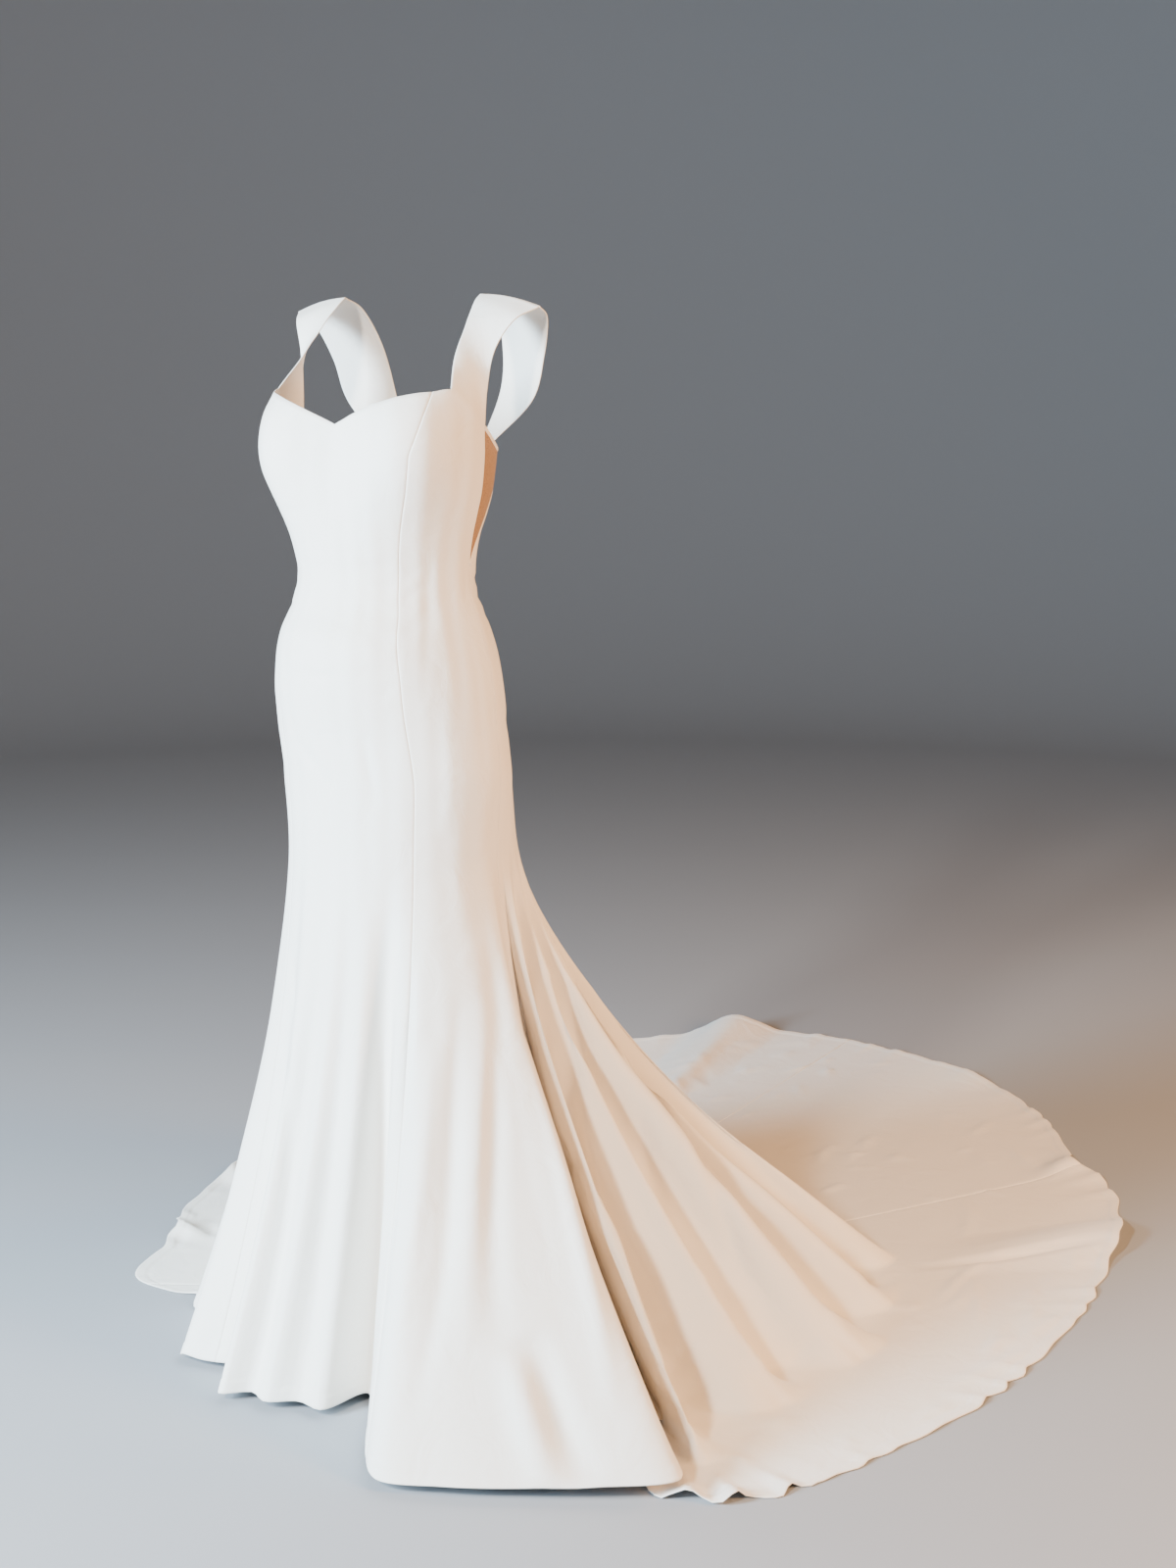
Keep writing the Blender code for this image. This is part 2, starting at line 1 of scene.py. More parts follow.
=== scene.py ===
"""Wedding dress: the looks of an ivory crepe gown with sheer side panels, covered buttons and a long train.

Sizes are in metres. The dress is drafted standing on the floor (z = 0), the wearer facing -Y with the left
side at +X, and every finished piece is moved so that the origin lies midway between the strap tops, as in the
frame. Places round the dress are girth numbers: 0 centre front, 1 front princess seam, 2 side seam,
3 back princess seam, 4 centre back, positive on the wearer's left and negative on the right.
"""
import math

import bpy
import numpy as np
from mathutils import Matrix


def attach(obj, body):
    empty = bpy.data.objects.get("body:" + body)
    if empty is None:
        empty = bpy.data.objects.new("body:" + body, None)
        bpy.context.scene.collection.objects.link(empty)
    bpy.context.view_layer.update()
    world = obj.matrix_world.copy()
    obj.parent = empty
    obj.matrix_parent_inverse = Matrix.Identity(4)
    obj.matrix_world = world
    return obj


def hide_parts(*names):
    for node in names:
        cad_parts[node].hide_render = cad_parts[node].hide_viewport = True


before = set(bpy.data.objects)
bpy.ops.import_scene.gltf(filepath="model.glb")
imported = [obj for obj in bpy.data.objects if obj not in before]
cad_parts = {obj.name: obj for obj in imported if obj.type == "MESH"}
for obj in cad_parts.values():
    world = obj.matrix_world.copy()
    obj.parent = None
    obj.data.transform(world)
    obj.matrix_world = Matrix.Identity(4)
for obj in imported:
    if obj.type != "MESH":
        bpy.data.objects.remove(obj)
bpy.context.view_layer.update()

# ---- driving dimensions ----
SHOULDER = np.array((0.0, 0.046, 1.455))  # the finished origin, in the drafting frame
CREPE = 0.0016  # crepe with its lining
NET = 0.0008  # sheer side panels
SEAM_GAP = 0.0003
SKIRT_TOP = 0.70
BUST_BASE = 1.10
FLOOR_CLEAR = 0.0013  # middle of the cloth above the floor where it lies flat
NEAR = 1e-9  # girths this close are the same, and no length is taken as less

# ---- fine sampling ----
PATH_STEPS = 160  # points of each part of a run of the skirt
HEM_ROWS = 6
SKIRT_ROWS = 170
BODY_ROWS = 62
BUST_ROWS = 34
STRAP_ROWS = 44
STRAP_COLUMNS = 31  # of a back strap
SHEER_ROWS = 60
SHEER_COLUMNS = 30
BINDING_ROWS = 40
BINDING_SIDES = 12
COLUMN_STEP = 0.011  # spacing of the columns along the hem
LEAST_COLUMNS = 18  # fewest columns between two marks of a panel's width
SHORT_STRETCH = 0.3  # marks this close in girth need fewer
SHORT_COLUMNS = 12

# ---- how the cloth is finished ----
HEM_DEPTH = 0.018  # the hem is turned up this far
HEM_BULGE = 0.0004  # how far the turned hem stands out
HEM_STITCH = 0.0005  # how deep the line of its stitches sinks
SEAM_GROOVE = 0.0006  # how deep a seam sinks into the cloth
GROOVE_WIDTH = 0.0016
GROOVE_SHARE = 0.4  # most of a column's width that a groove takes
RIM_SWELL = 0.35  # how far a cut edge is rounded out, in thicknesses
RIPPLE_HEIGHTS = (0.0007, 0.0005)  # of the long drags and the soft unevenness
RIPPLE_START = 0.01  # height above the floor where the ripple begins
RIPPLE_FADE = 0.05  # height over which it comes to its full size

# ---- body sections: height, half width, depth to the front, depth to the back, sideways shift, cup ----
BODY = (
    (1.46, 0.168, 0.105, 0.14, 0.0, 0.0),
    (1.33, 0.162, 0.104, 0.138, 0.0, 0.021),
    (1.303, 0.159, 0.105, 0.137, -0.002, 0.036),
    (1.276, 0.157, 0.107, 0.134, -0.003, 0.043),
    (1.256, 0.157, 0.109, 0.131, -0.004, 0.043),
    (1.224, 0.155, 0.112, 0.127, -0.005, 0.037),
    (1.198, 0.151, 0.114, 0.123, -0.005, 0.027),
    (1.171, 0.145, 0.115, 0.112, -0.006, 0.016),
    (1.144, 0.138, 0.115, 0.099, -0.006, 0.008),
    (1.117, 0.133, 0.114, 0.091, -0.006, 0.003),
    (1.091, 0.131, 0.112, 0.088, -0.006, 0.0),
    (1.064, 0.134, 0.115, 0.09, -0.007, 0.0),
    (1.036, 0.143, 0.124, 0.1, -0.007, 0.0),
    (1.01, 0.153, 0.137, 0.113, -0.008, 0.0),
    (0.983, 0.161, 0.142, 0.121, -0.008, 0.0),
    (0.955, 0.167, 0.141, 0.125, -0.008, 0.0),
    (0.928, 0.171, 0.139, 0.128, -0.008, 0.0),
    (0.9, 0.173, 0.135, 0.13, -0.007, 0.0),
    (0.873, 0.174, 0.131, 0.131, -0.006, 0.0),
    (0.846, 0.174, 0.129, 0.132, -0.003, 0.0),
    (0.818, 0.173, 0.128, 0.136, 0.0, 0.0),
    (0.79, 0.171, 0.127, 0.145, 0.0, 0.0),
    (0.762, 0.168, 0.127, 0.155, 0.0, 0.0),
    (0.734, 0.165, 0.127, 0.163, 0.0, 0.0),
    (0.7, 0.163, 0.128, 0.174, 0.0, 0.0),
    (0.6, 0.161, 0.129, 0.2, 0.0, 0.0),
)
CUP_ANGLE = 38.0
CUP_SPREAD = 19.0

# ---- seams: height, then the angle of the front princess, side and back princess seams ----
SEAMS = (
    (1.340, 50.0, 92.0, 158.0),
    (1.300, 45.0, 92.0, 158.0),
    (1.250, 40.0, 94.0, 157.0),
    (1.100, 41.0, 97.0, 150.0),
    (0.900, 39.0, 95.0, 150.0),
    (0.700, 41.0, 95.0, 150.0),
)

# ---- neckline: girth number, height ----
NECKLINE = (
    (0.00, 1.288),
    (0.25, 1.302),
    (0.50, 1.316),
    (0.75, 1.326),
    (1.00, 1.330),
    (1.24, 1.333),
    (1.60, 1.312),
    (2.00, 1.284),
)
STRAP_START = 1.24

# ---- straps: inner edge x, y, z and outer edge x, y, z ----
FRONT_STRAP = (
    (0.133, -0.028, 1.375, 0.160, 0.006, 1.335),
    (0.125, 0.006, 1.415, 0.168, 0.013, 1.385),
    (0.119, 0.032, 1.445, 0.189, 0.029, 1.424),
)
SHOULDER_SEAM = (0.117, 0.050, 1.458, 0.209, 0.056, 1.441)
BACK_STRAP = (
    (0.114, 0.085, 1.442, 0.203, 0.083, 1.425),
    (0.106, 0.115, 1.395, 0.184, 0.101, 1.375),
    (0.093, 0.127, 1.330, 0.162, 0.104, 1.318),
)
STRAP_CROWN = 0.004
STRAP_PAST = 1.02  # furthest share across it that a helping column may lie

# ---- sheer side panel: the angle of its back edge at a share of its height ----
SHEER_EDGE = (
    (0.00, 97.0),
    (0.14, 103.0),
    (0.30, 112.0),
    (0.50, 122.0),
    (0.75, 132.0),
    (1.00, 140.0),
)
SHEER_TIP = 0.02
UNDERARM_BACK = 1.262
BINDING_WIDTH = 0.006  # of the narrow bindings round the sheer wedges
BINDING_RISE = 0.0024
BINDING_ROUND = 0.6  # 1 a round binding, towards 0 a square one
UNDERARM_DIP = 0.018
BACK_NECK_CORNER = 1.245
BACK_NECK_CENTRE = 1.180
BACK_NECK_CURVE = 0.8

# ---- skirt: one row for each ridge and valley ----
# girth number, hem x, hem y, hem height, foot (share of the way out at which it meets the floor),
# sag (0 taut down to the foot, 1 slack)
SKIRT = (
    (-3.72, -0.24, 1.56, 0.0, 0.42, 0.6),
    (-3.52, -0.322, 1.505, 0.024, 0.46, 0.36),
    (-3.4, -0.402, 1.425, 0.0, 0.4, 0.6),
    (-3.2, -0.47, 1.34, 0.0, 0.42, 0.5),
    (-3.0, -0.59, 1.15, 0.0, 0.42, 0.55),
    (-2.86, -0.675, 0.9, 0.012, 0.62, 0.02),
    (-2.74, -0.695, 0.69, 0.0, 0.5, 0.46),
    (-2.58, -0.68, 0.47, 0.0, 0.66, 0.06),
    (-2.44, -0.638, 0.33, 0.0, 0.52, 0.44),
    (-2.28, -0.56, 0.12, 0.0, 0.68, 0.08),
    (-2.16, -0.478, -0.01, 0.0, 0.56, 0.34),
    (-2.06, -0.425, -0.12, 0.0, 0.42, 0.3),
    (-1.92, -0.34, -0.128, 0.0, 0.5, 0.3),
    (-1.8, -0.24, -0.095, 0.008, 1.0, 0.3),
    (-1.64, -0.278, -0.145, 0.006, 1.0, 0.1),
    (-1.42, -0.19, -0.17, 0.006, 1.0, 0.25),
    (-1.24, -0.16, -0.292, 0.01, 1.0, 0.1),
    (-1.0, -0.105, -0.285, 0.01, 1.0, 0.15),
    (-0.76, -0.06, -0.272, 0.012, 1.0, 0.2),
    (-0.45, -0.03, -0.356, 0.012, 1.0, 0.08),
    (-0.2, 0.004, -0.328, 0.012, 1.0, 0.18),
    (0.02, 0.036, -0.34, 0.012, 1.0, 0.08),
    (0.2, 0.074, -0.314, 0.012, 1.0, 0.2),
    (0.38, 0.112, -0.318, 0.012, 1.0, 0.08),
    (0.62, 0.13, -0.246, 0.012, 1.0, 0.28),
    (0.84, 0.218, -0.35, 0.012, 1.0, 0.15),
    (1.0, 0.248, -0.385, 0.012, 1.0, 0.1),
    (1.1, 0.29, -0.42, 0.012, 1.0, 0.08),
    (1.24, 0.377, -0.392, 0.014, 1.0, 0.1),
    (1.5, 0.462, -0.344, 0.016, 1.0, 0.1),
    (1.74, 0.545, -0.292, 0.02, 1.0, 0.1),
    (1.88, 0.614, -0.238, 0.024, 1.0, 0.08),
    (2.0, 0.5, -0.11, 0.016, 1.0, 0.2),
    (2.04, 0.5, -0.05, 0.0, 0.85, 0.3),
    (2.09, 0.575, -0.24, 0.0, 0.62, 0.2),
    (2.13, 0.628, -0.244, 0.0, 0.72, 0.1),
    (2.2, 0.674, -0.204, 0.0, 0.84, 0.0),
    (2.29, 0.723, -0.133, 0.0, 0.56, 0.5),
    (2.43, 0.782, 0.042, 0.0, 0.73, 0.02),
    (2.5, 0.805, 0.135, 0.0, 0.6, 0.28),
    (2.6, 0.826, 0.305, 0.0, 0.72, -0.02),
    (2.68, 0.825, 0.455, 0.0, 0.57, 0.36),
    (2.75, 0.818, 0.574, 0.0, 0.66, 0.06),
    (2.83, 0.789, 0.735, 0.0, 0.5, 0.46),
    (2.9, 0.76, 0.878, 0.024, 0.61, 0.02),
    (2.94, 0.726, 0.956, 0.0, 0.48, 0.42),
    (2.97, 0.68, 1.052, 0.0, 0.44, 0.52),
    (3.0, 0.6, 1.13, 0.0, 0.4, 0.66),
    (3.25, 0.417, 1.364, 0.0, 0.4, 0.62),
    (3.6, 0.18, 1.534, 0.0, 0.4, 0.56),
    (4.0, -0.092, 1.59, 0.0, 0.4, 0.64),
)
# how far the foot lies to the left of the straight way out, at the girths where it does
FOOT_DRIFT = {2.04: 0.04, 2.09: 0.1, 2.13: 0.07, 2.2: 0.02}
# handles of a run's curve: share of its reach or of its drop, taut and slack
UPPER_PULL = 0.10
LOWER_PULL = 0.60
SLACK_PULL = 0.55
UPPER_DROP = 0.34
LOWER_DROP = 0.72
SLACK_DROP = 0.5


# ---- the surface of the dress ----
def column(table, key, field):
    """A field of a table, read at keys by straight lines between its rows."""
    rows = sorted(table)
    return np.interp(key, [row[0] for row in rows], [row[field] for row in rows])


def hermite(keys, values, wanted):
    """A smooth curve through values at rising keys, read at the wanted keys."""
    slopes = np.gradient(values, keys, axis=0)
    wanted = np.clip(wanted, keys[0], keys[-1])
    span = np.clip(np.searchsorted(keys, wanted, side="right") - 1, 0, len(keys) - 2)
    width = (keys[span + 1] - keys[span])[:, None]
    share = (wanted[:, None] - keys[span][:, None]) / width
    return (
        values[span] * (1 + 2 * share) * (1 - share) ** 2
        + slopes[span] * width * share * (1 - share) ** 2
        + values[span + 1] * share**2 * (3 - 2 * share)
        - slopes[span + 1] * width * share**2 * (1 - share)
    )


def smooth_column(table, key, field):
    """As column, but on a smooth curve through the rows; takes and gives arrays of any shape."""
    rows = sorted(table)
    keys = np.array([row[0] for row in rows])
    values = np.array([row[field] for row in rows])
    wanted = np.asarray(key, dtype=float)
    return hermite(keys, values[:, None], wanted.ravel())[:, 0].reshape(wanted.shape)


def unit(vectors):
    """Vectors at length one."""
    return vectors / np.maximum(np.linalg.norm(vectors, axis=-1, keepdims=True), 1e-12)


def way_along(points):
    """How far along a line of points each lies."""
    return np.concatenate(((0.0,), np.cumsum(np.linalg.norm(np.diff(points, axis=0), axis=1))))


def read_along(values, way, wanted):
    """Values in three columns, known at a rising way, read at the wanted ways by straight lines."""
    return np.column_stack([np.interp(wanted, way, values[:, axis]) for axis in range(3)])


def matched(*values):
    """Numbers or arrays as arrays of one shape."""
    return np.broadcast_arrays(*(np.asarray(value, dtype=float) for value in values))


def seam_angle(girth, height):
    """The angle round the body, in degrees from the centre front, of girth numbers at heights."""
    girth, height = matched(girth, height)
    marks = np.stack([np.zeros(height.shape)] + [column(SEAMS, height, field) for field in (1, 2, 3)]
                     + [np.full(height.shape, 180.0)])
    size = np.abs(girth)
    low = np.clip(np.floor(size), 0, 3).astype(int)
    start = np.take_along_axis(marks, low[None], 0)[0]
    end = np.take_along_axis(marks, low[None] + 1, 0)[0]
    return np.copysign(start + (end - start) * (size - low), girth)


def body_point(angle, height):
    """Points on the fitted body at angles in degrees and heights."""
    angle, height = matched(angle, height)
    half_width, front, back, shift, cup = (smooth_column(BODY, height, field) for field in range(1, 6))
    turn = np.radians(angle)
    depth = np.where(np.cos(turn) > 0, front, back)
    out = cup * np.exp(-(((np.abs(angle) - CUP_ANGLE) / CUP_SPREAD) ** 2) / 2)
    return np.stack((shift + (half_width + out) * np.sin(turn), -(depth + out) * np.cos(turn), height), -1)


def on_body(girth, height):
    """Points of the fitted body at girth numbers and heights."""
    return body_point(seam_angle(girth, height), height)


def fall_shape(reach, floor, sag):
    """The profile of a run from the hip down to its foot: points (distance out, height)."""
    drop = SKIRT_TOP - floor
    start = np.array((0.0, SKIRT_TOP))
    foot = np.array((reach, floor))
    taut_upper = np.array((UPPER_PULL * reach, SKIRT_TOP - UPPER_DROP * drop))
    taut_lower = np.array((LOWER_PULL * reach, SKIRT_TOP - LOWER_DROP * drop))
    slack_upper = np.array((0.0, SKIRT_TOP - SLACK_DROP * drop))
    slack_lower = np.array((SLACK_PULL * reach, floor))
    upper = (1 - sag) * taut_upper + sag * slack_upper
    lower = (1 - sag) * taut_lower + sag * slack_lower
    share = np.linspace(0, 1, PATH_STEPS)[:, None]
    return (
        start * (1 - share) ** 3
        + 3 * upper * share * (1 - share) ** 2
        + 3 * lower * share**2 * (1 - share)
        + foot * share**3
    )


class Skirt:
    """The fan of skirt runs, read at any girth number and any share of the way to the hem."""

    STEPS = 500

    def __init__(self, rows):
        table = [(-4.0,) + rows[-1][1:]] + list(rows)
        self.girths = np.array([row[0] for row in table])
        hips = [on_body(row[0], SKIRT_TOP) for row in table]
        shares = np.linspace(0, 1, self.STEPS)
        offsets = []
        lengths = []
        for hip, row in zip(hips, table):
            way, points = self.run(hip, row)
            lengths.append(way[-1])
            offsets.append(read_along(points, way, shares * way[-1]))
        self.offsets = np.array(offsets)
        self.lengths = np.array(lengths)
        self.along = way_along(np.array([row[1:3] for row in table]))

    @staticmethod
    def run(hip, row):
        """Offsets from the hip along one run, with the way come to each."""
        girth, hem_x, hem_y, hem_height, foot, sag = row
        hem = np.array((hem_x, hem_y))
        way = hem - hip[:2]
        aside = unit(np.array((-way[1], way[0])))
        meets_floor = foot < 1.0
        touch = hip[:2] + foot * way + FOOT_DRIFT.get(girth, 0.0) * aside
        heading = touch - hip[:2]
        reach = np.linalg.norm(heading)
        fall = fall_shape(reach, FLOOR_CLEAR + (0.0 if meets_floor else hem_height), sag)
        points = np.column_stack((fall[:, :1] * heading / reach, fall[:, 1] - hip[2]))
        if meets_floor:
            out = np.linspace(0, 1, PATH_STEPS)[1:, None]
            lift = hem_height * np.sin(np.pi / 2 * out) ** 2
            flat = np.hstack((touch - hip[:2] + out * (hem - touch), FLOOR_CLEAR - hip[2] + lift))
            points = np.vstack((points, flat))
        return way_along(points), points

    def place(self, girths):
        """How far along the hem girth numbers lie."""
        return np.interp(girths, self.girths, self.along)

    def length(self, girths):
        """Lengths of the runs at girth numbers."""
        return hermite(self.along, self.lengths[:, None], self.place(girths))[:, 0]

    def points(self, girth, shares):
        """Points at one girth number, at shares of the way from the hip to the hem."""
        spot = np.clip(shares, 0, 1) * (self.STEPS - 1)
        low = np.clip(spot.astype(int), 0, self.STEPS - 2)
        part = (spot - low)[None, :, None]
        offsets = self.offsets[:, low] * (1 - part) + self.offsets[:, low + 1] * part
        flat = offsets.reshape(len(self.girths), -1)
        here = hermite(self.along, flat, self.place(np.array([girth])))[0].reshape(-1, 3)
        spots = on_body(girth, SKIRT_TOP) + here
        spots[:, 2] = np.maximum(spots[:, 2], FLOOR_CLEAR)
        return spots


def wrapped(girth):
    """A girth number brought into -4 to 4."""
    return (girth + 4.0) % 8.0 - 4.0 if abs(girth) > 4.0 else girth


def lower_column(girth):
    """Points from the hem up to the bust base, close together in the turned hem."""
    girth = wrapped(girth)
    hem_share = HEM_DEPTH / SHAPE.length(np.array([girth]))[0]
    hem = 1 - np.linspace(0, hem_share, HEM_ROWS, endpoint=False)
    rest = np.linspace(1 - hem_share, 0, SKIRT_ROWS, endpoint=False)
    skirt = SHAPE.points(girth, np.concatenate((hem, rest)))
    body = on_body(girth, np.linspace(SKIRT_TOP, BUST_BASE, BODY_ROWS + 1))
    return smooth_join(np.vstack((skirt, body)), HEM_ROWS + SKIRT_ROWS)


def smooth_join(points, row, reach=14, rounds=30):
    """Ease the bend where the skirt leaves the body."""
    for _ in range(rounds):
        part = points[row - reach:row + reach + 1]
        part[1:-1] += (part[:-2] + part[2:] - 2 * part[1:-1]) / 4
    return points


def front_column(girth):
    """One column of a front panel, from the hem up to the neckline."""
    top = smooth_column(NECKLINE, abs(girth), 1)
    heights = np.linspace(BUST_BASE, top, BUST_ROWS + 1)[1:]
    return np.vstack((lower_column(girth), on_body(girth, heights)))


def sheer_point(side, up, across):
    """Points of the side panel: up 0 to 1 from its tip to the armhole, across 0 to 1 from front to back."""
    armhole = smooth_column(NECKLINE, 2.0, 1)
    front_height = BUST_BASE + (armhole - BUST_BASE) * up
    back_height = BUST_BASE + (UNDERARM_BACK - BUST_BASE) * up
    height = front_height + (back_height - front_height) * across
    height = height - UNDERARM_DIP * np.sin(np.pi * across) * up**3
    front_angle = seam_angle(2.0, front_height)
    back_angle = smooth_column(SHEER_EDGE, up, 1)
    return body_point(side * (front_angle + (back_angle - front_angle) * across), height)


def side_back_column(girth):
    """One column of a side back panel, from the hem up to the foot of the back strap."""
    side = math.copysign(1.0, girth)
    share = min(max(abs(girth) - 2.0, 0.0), 1.0)
    up = np.linspace(0, 1, BUST_ROWS + 1)[1:]
    edge = sheer_point(side, up, 1.0)
    seam_height = BUST_BASE + (BACK_NECK_CORNER - BUST_BASE) * up
    height = edge[:, 2] + (seam_height - edge[:, 2]) * share
    angle = smooth_column(SHEER_EDGE, up, 1)
    angle = angle + (seam_angle(3.0, seam_height) - angle) * share
    return np.vstack((lower_column(girth), body_point(side * angle, height)))


def back_column(girth):
    """One column of a centre back panel, from the hem up to the back neckline."""
    girth = wrapped(girth)
    share = min(max(abs(girth) - 3.0, 0.0), 1.0)
    top = BACK_NECK_CORNER + (BACK_NECK_CENTRE - BACK_NECK_CORNER) * share**BACK_NECK_CURVE
    heights = np.linspace(BUST_BASE, top, BUST_ROWS + 1)[1:]
    return np.vstack((lower_column(girth), on_body(girth, heights)))


def strap_column(edges, share, foot):
    """Points up a strap from its foot, at a share of the way across it from its inner edge."""
    keys = np.arange(len(edges), dtype=float)
    wanted = np.linspace(0, len(edges) - 1, STRAP_ROWS + 1)
    inner, outer = [hermite(keys, np.array([edge[end] for edge in edges]), wanted) for end in (0, 1)]
    points = inner + (outer - inner) * share
    points[:, 2] += STRAP_CROWN * math.sin(math.pi * share) * np.minimum(wanted, 1.0)
    fade = np.clip(1 - wanted / 2, 0, 1)[:, None]
    return points + (foot - points[0]) * fade


def strap_edges(foot_inner, foot_outer, rows, side):
    """The foot and the table rows of a strap as pairs of points on its inner and outer edges."""
    flip = np.array((side, 1.0, 1.0))
    edges = [(np.array(row[:3]) * flip, np.array(row[3:]) * flip) for row in rows]
    return [(foot_inner, foot_outer)] + edges


# ---- creases ----
# girth and height of the start, the middle and the end, width, depth (below 0 a trough, above 0 a ridge)
BODY_CREASES = (
    (0.38, 1.106, 0.68, 1.103, 0.95, 1.109, 0.005, -0.0014),
    (0.33, 1.078, 0.67, 1.072, 0.97, 1.076, 0.006, -0.002),
    (0.43, 1.046, 0.72, 1.04, 0.99, 1.042, 0.0055, -0.0018),
    (0.58, 1.013, 0.81, 1.008, 0.99, 1.009, 0.005, -0.0014),
    (0.51, 0.974, 0.77, 0.966, 0.98, 0.971, 0.006, -0.0016),
    (0.48, 0.94, 0.74, 0.936, 0.95, 0.944, 0.0055, -0.001),
    (-0.56, 0.995, -0.13, 0.984, 0.24, 0.983, 0.007, -0.0018),
    (-0.45, 0.963, -0.11, 0.956, 0.2, 0.959, 0.006, -0.0016),
    (-0.66, 0.868, -0.26, 0.826, 0.02, 0.79, 0.011, -0.0026),
    (0.45, 0.88, 0.47, 0.828, 0.54, 0.775, 0.011, -0.0022),
    (-0.85, 1.174, -0.63, 1.172, -0.37, 1.172, 0.006, -0.0012),
    (1.35, 1.128, 1.29, 1.023, 1.19, 0.921, 0.011, -0.0016),
    (1.55, 1.178, 1.57, 1.022, 1.49, 0.867, 0.013, -0.0018),
    (1.38, 0.947, 1.32, 0.816, 1.3, 0.74, 0.012, 0.0018),
    (1.74, 1.06, 1.76, 0.92, 1.72, 0.79, 0.012, -0.0016),
    (1.05, 1.06, 1.18, 1.07, 1.34, 1.078, 0.006, -0.0014),
    (1.04, 1.088, 1.14, 1.094, 1.26, 1.098, 0.005, -0.0012),
    (1.06, 1.02, 1.16, 1.026, 1.3, 1.036, 0.006, -0.001),
    (2.1, 1.09, 2.34, 1.08, 2.62, 1.078, 0.007, -0.002),
    (2.2, 1.062, 2.5, 1.052, 2.86, 1.05, 0.008, -0.0022),
    (2.3, 1.032, 2.58, 1.028, 2.9, 1.02, 0.007, -0.0014),
    (3.1, 1.082, 3.4, 1.074, 3.72, 1.073, 0.007, -0.0018),
    (3.05, 1.046, 3.32, 1.044, 3.62, 1.052, 0.008, -0.002),
    (3.24, 1.016, 3.5, 1.01, 3.8, 1.014, 0.007, -0.0014),
    (-2.15, 1.084, -2.42, 1.074, -2.7, 1.07, 0.007, -0.002),
    (-2.3, 1.056, -2.6, 1.048, -2.9, 1.046, 0.008, -0.0018),
    (-2.2, 1.026, -2.44, 1.022, -2.76, 1.016, 0.007, -0.0014),
    (-3.1, 1.078, -3.36, 1.07, -3.64, 1.07, 0.007, -0.002),
    (-3.2, 1.046, -3.48, 1.048, -3.76, 1.056, 0.008, -0.0016),
    (-1.08, 1.074, -1.32, 1.068, -1.62, 1.066, 0.006, -0.0014),
    (-1.06, 1.042, -1.26, 1.04, -1.5, 1.034, 0.006, -0.0012),
    (-1.3, 1.0, -1.34, 0.9, -1.34, 0.8, 0.012, -0.0018),
    (-1.64, 1.09, -1.6, 0.96, -1.66, 0.83, 0.013, -0.0016),
    (2.3, 0.9, 2.6, 0.862, 2.92, 0.842, 0.013, -0.0024),
    (-2.3, 0.9, -2.6, 0.866, -2.9, 0.838, 0.013, -0.0024),
    (3.2, 0.856, 3.5, 0.838, 3.8, 0.832, 0.012, -0.002),
    (-3.16, 0.862, -3.44, 0.842, -3.78, 0.836, 0.012, -0.0018),
)
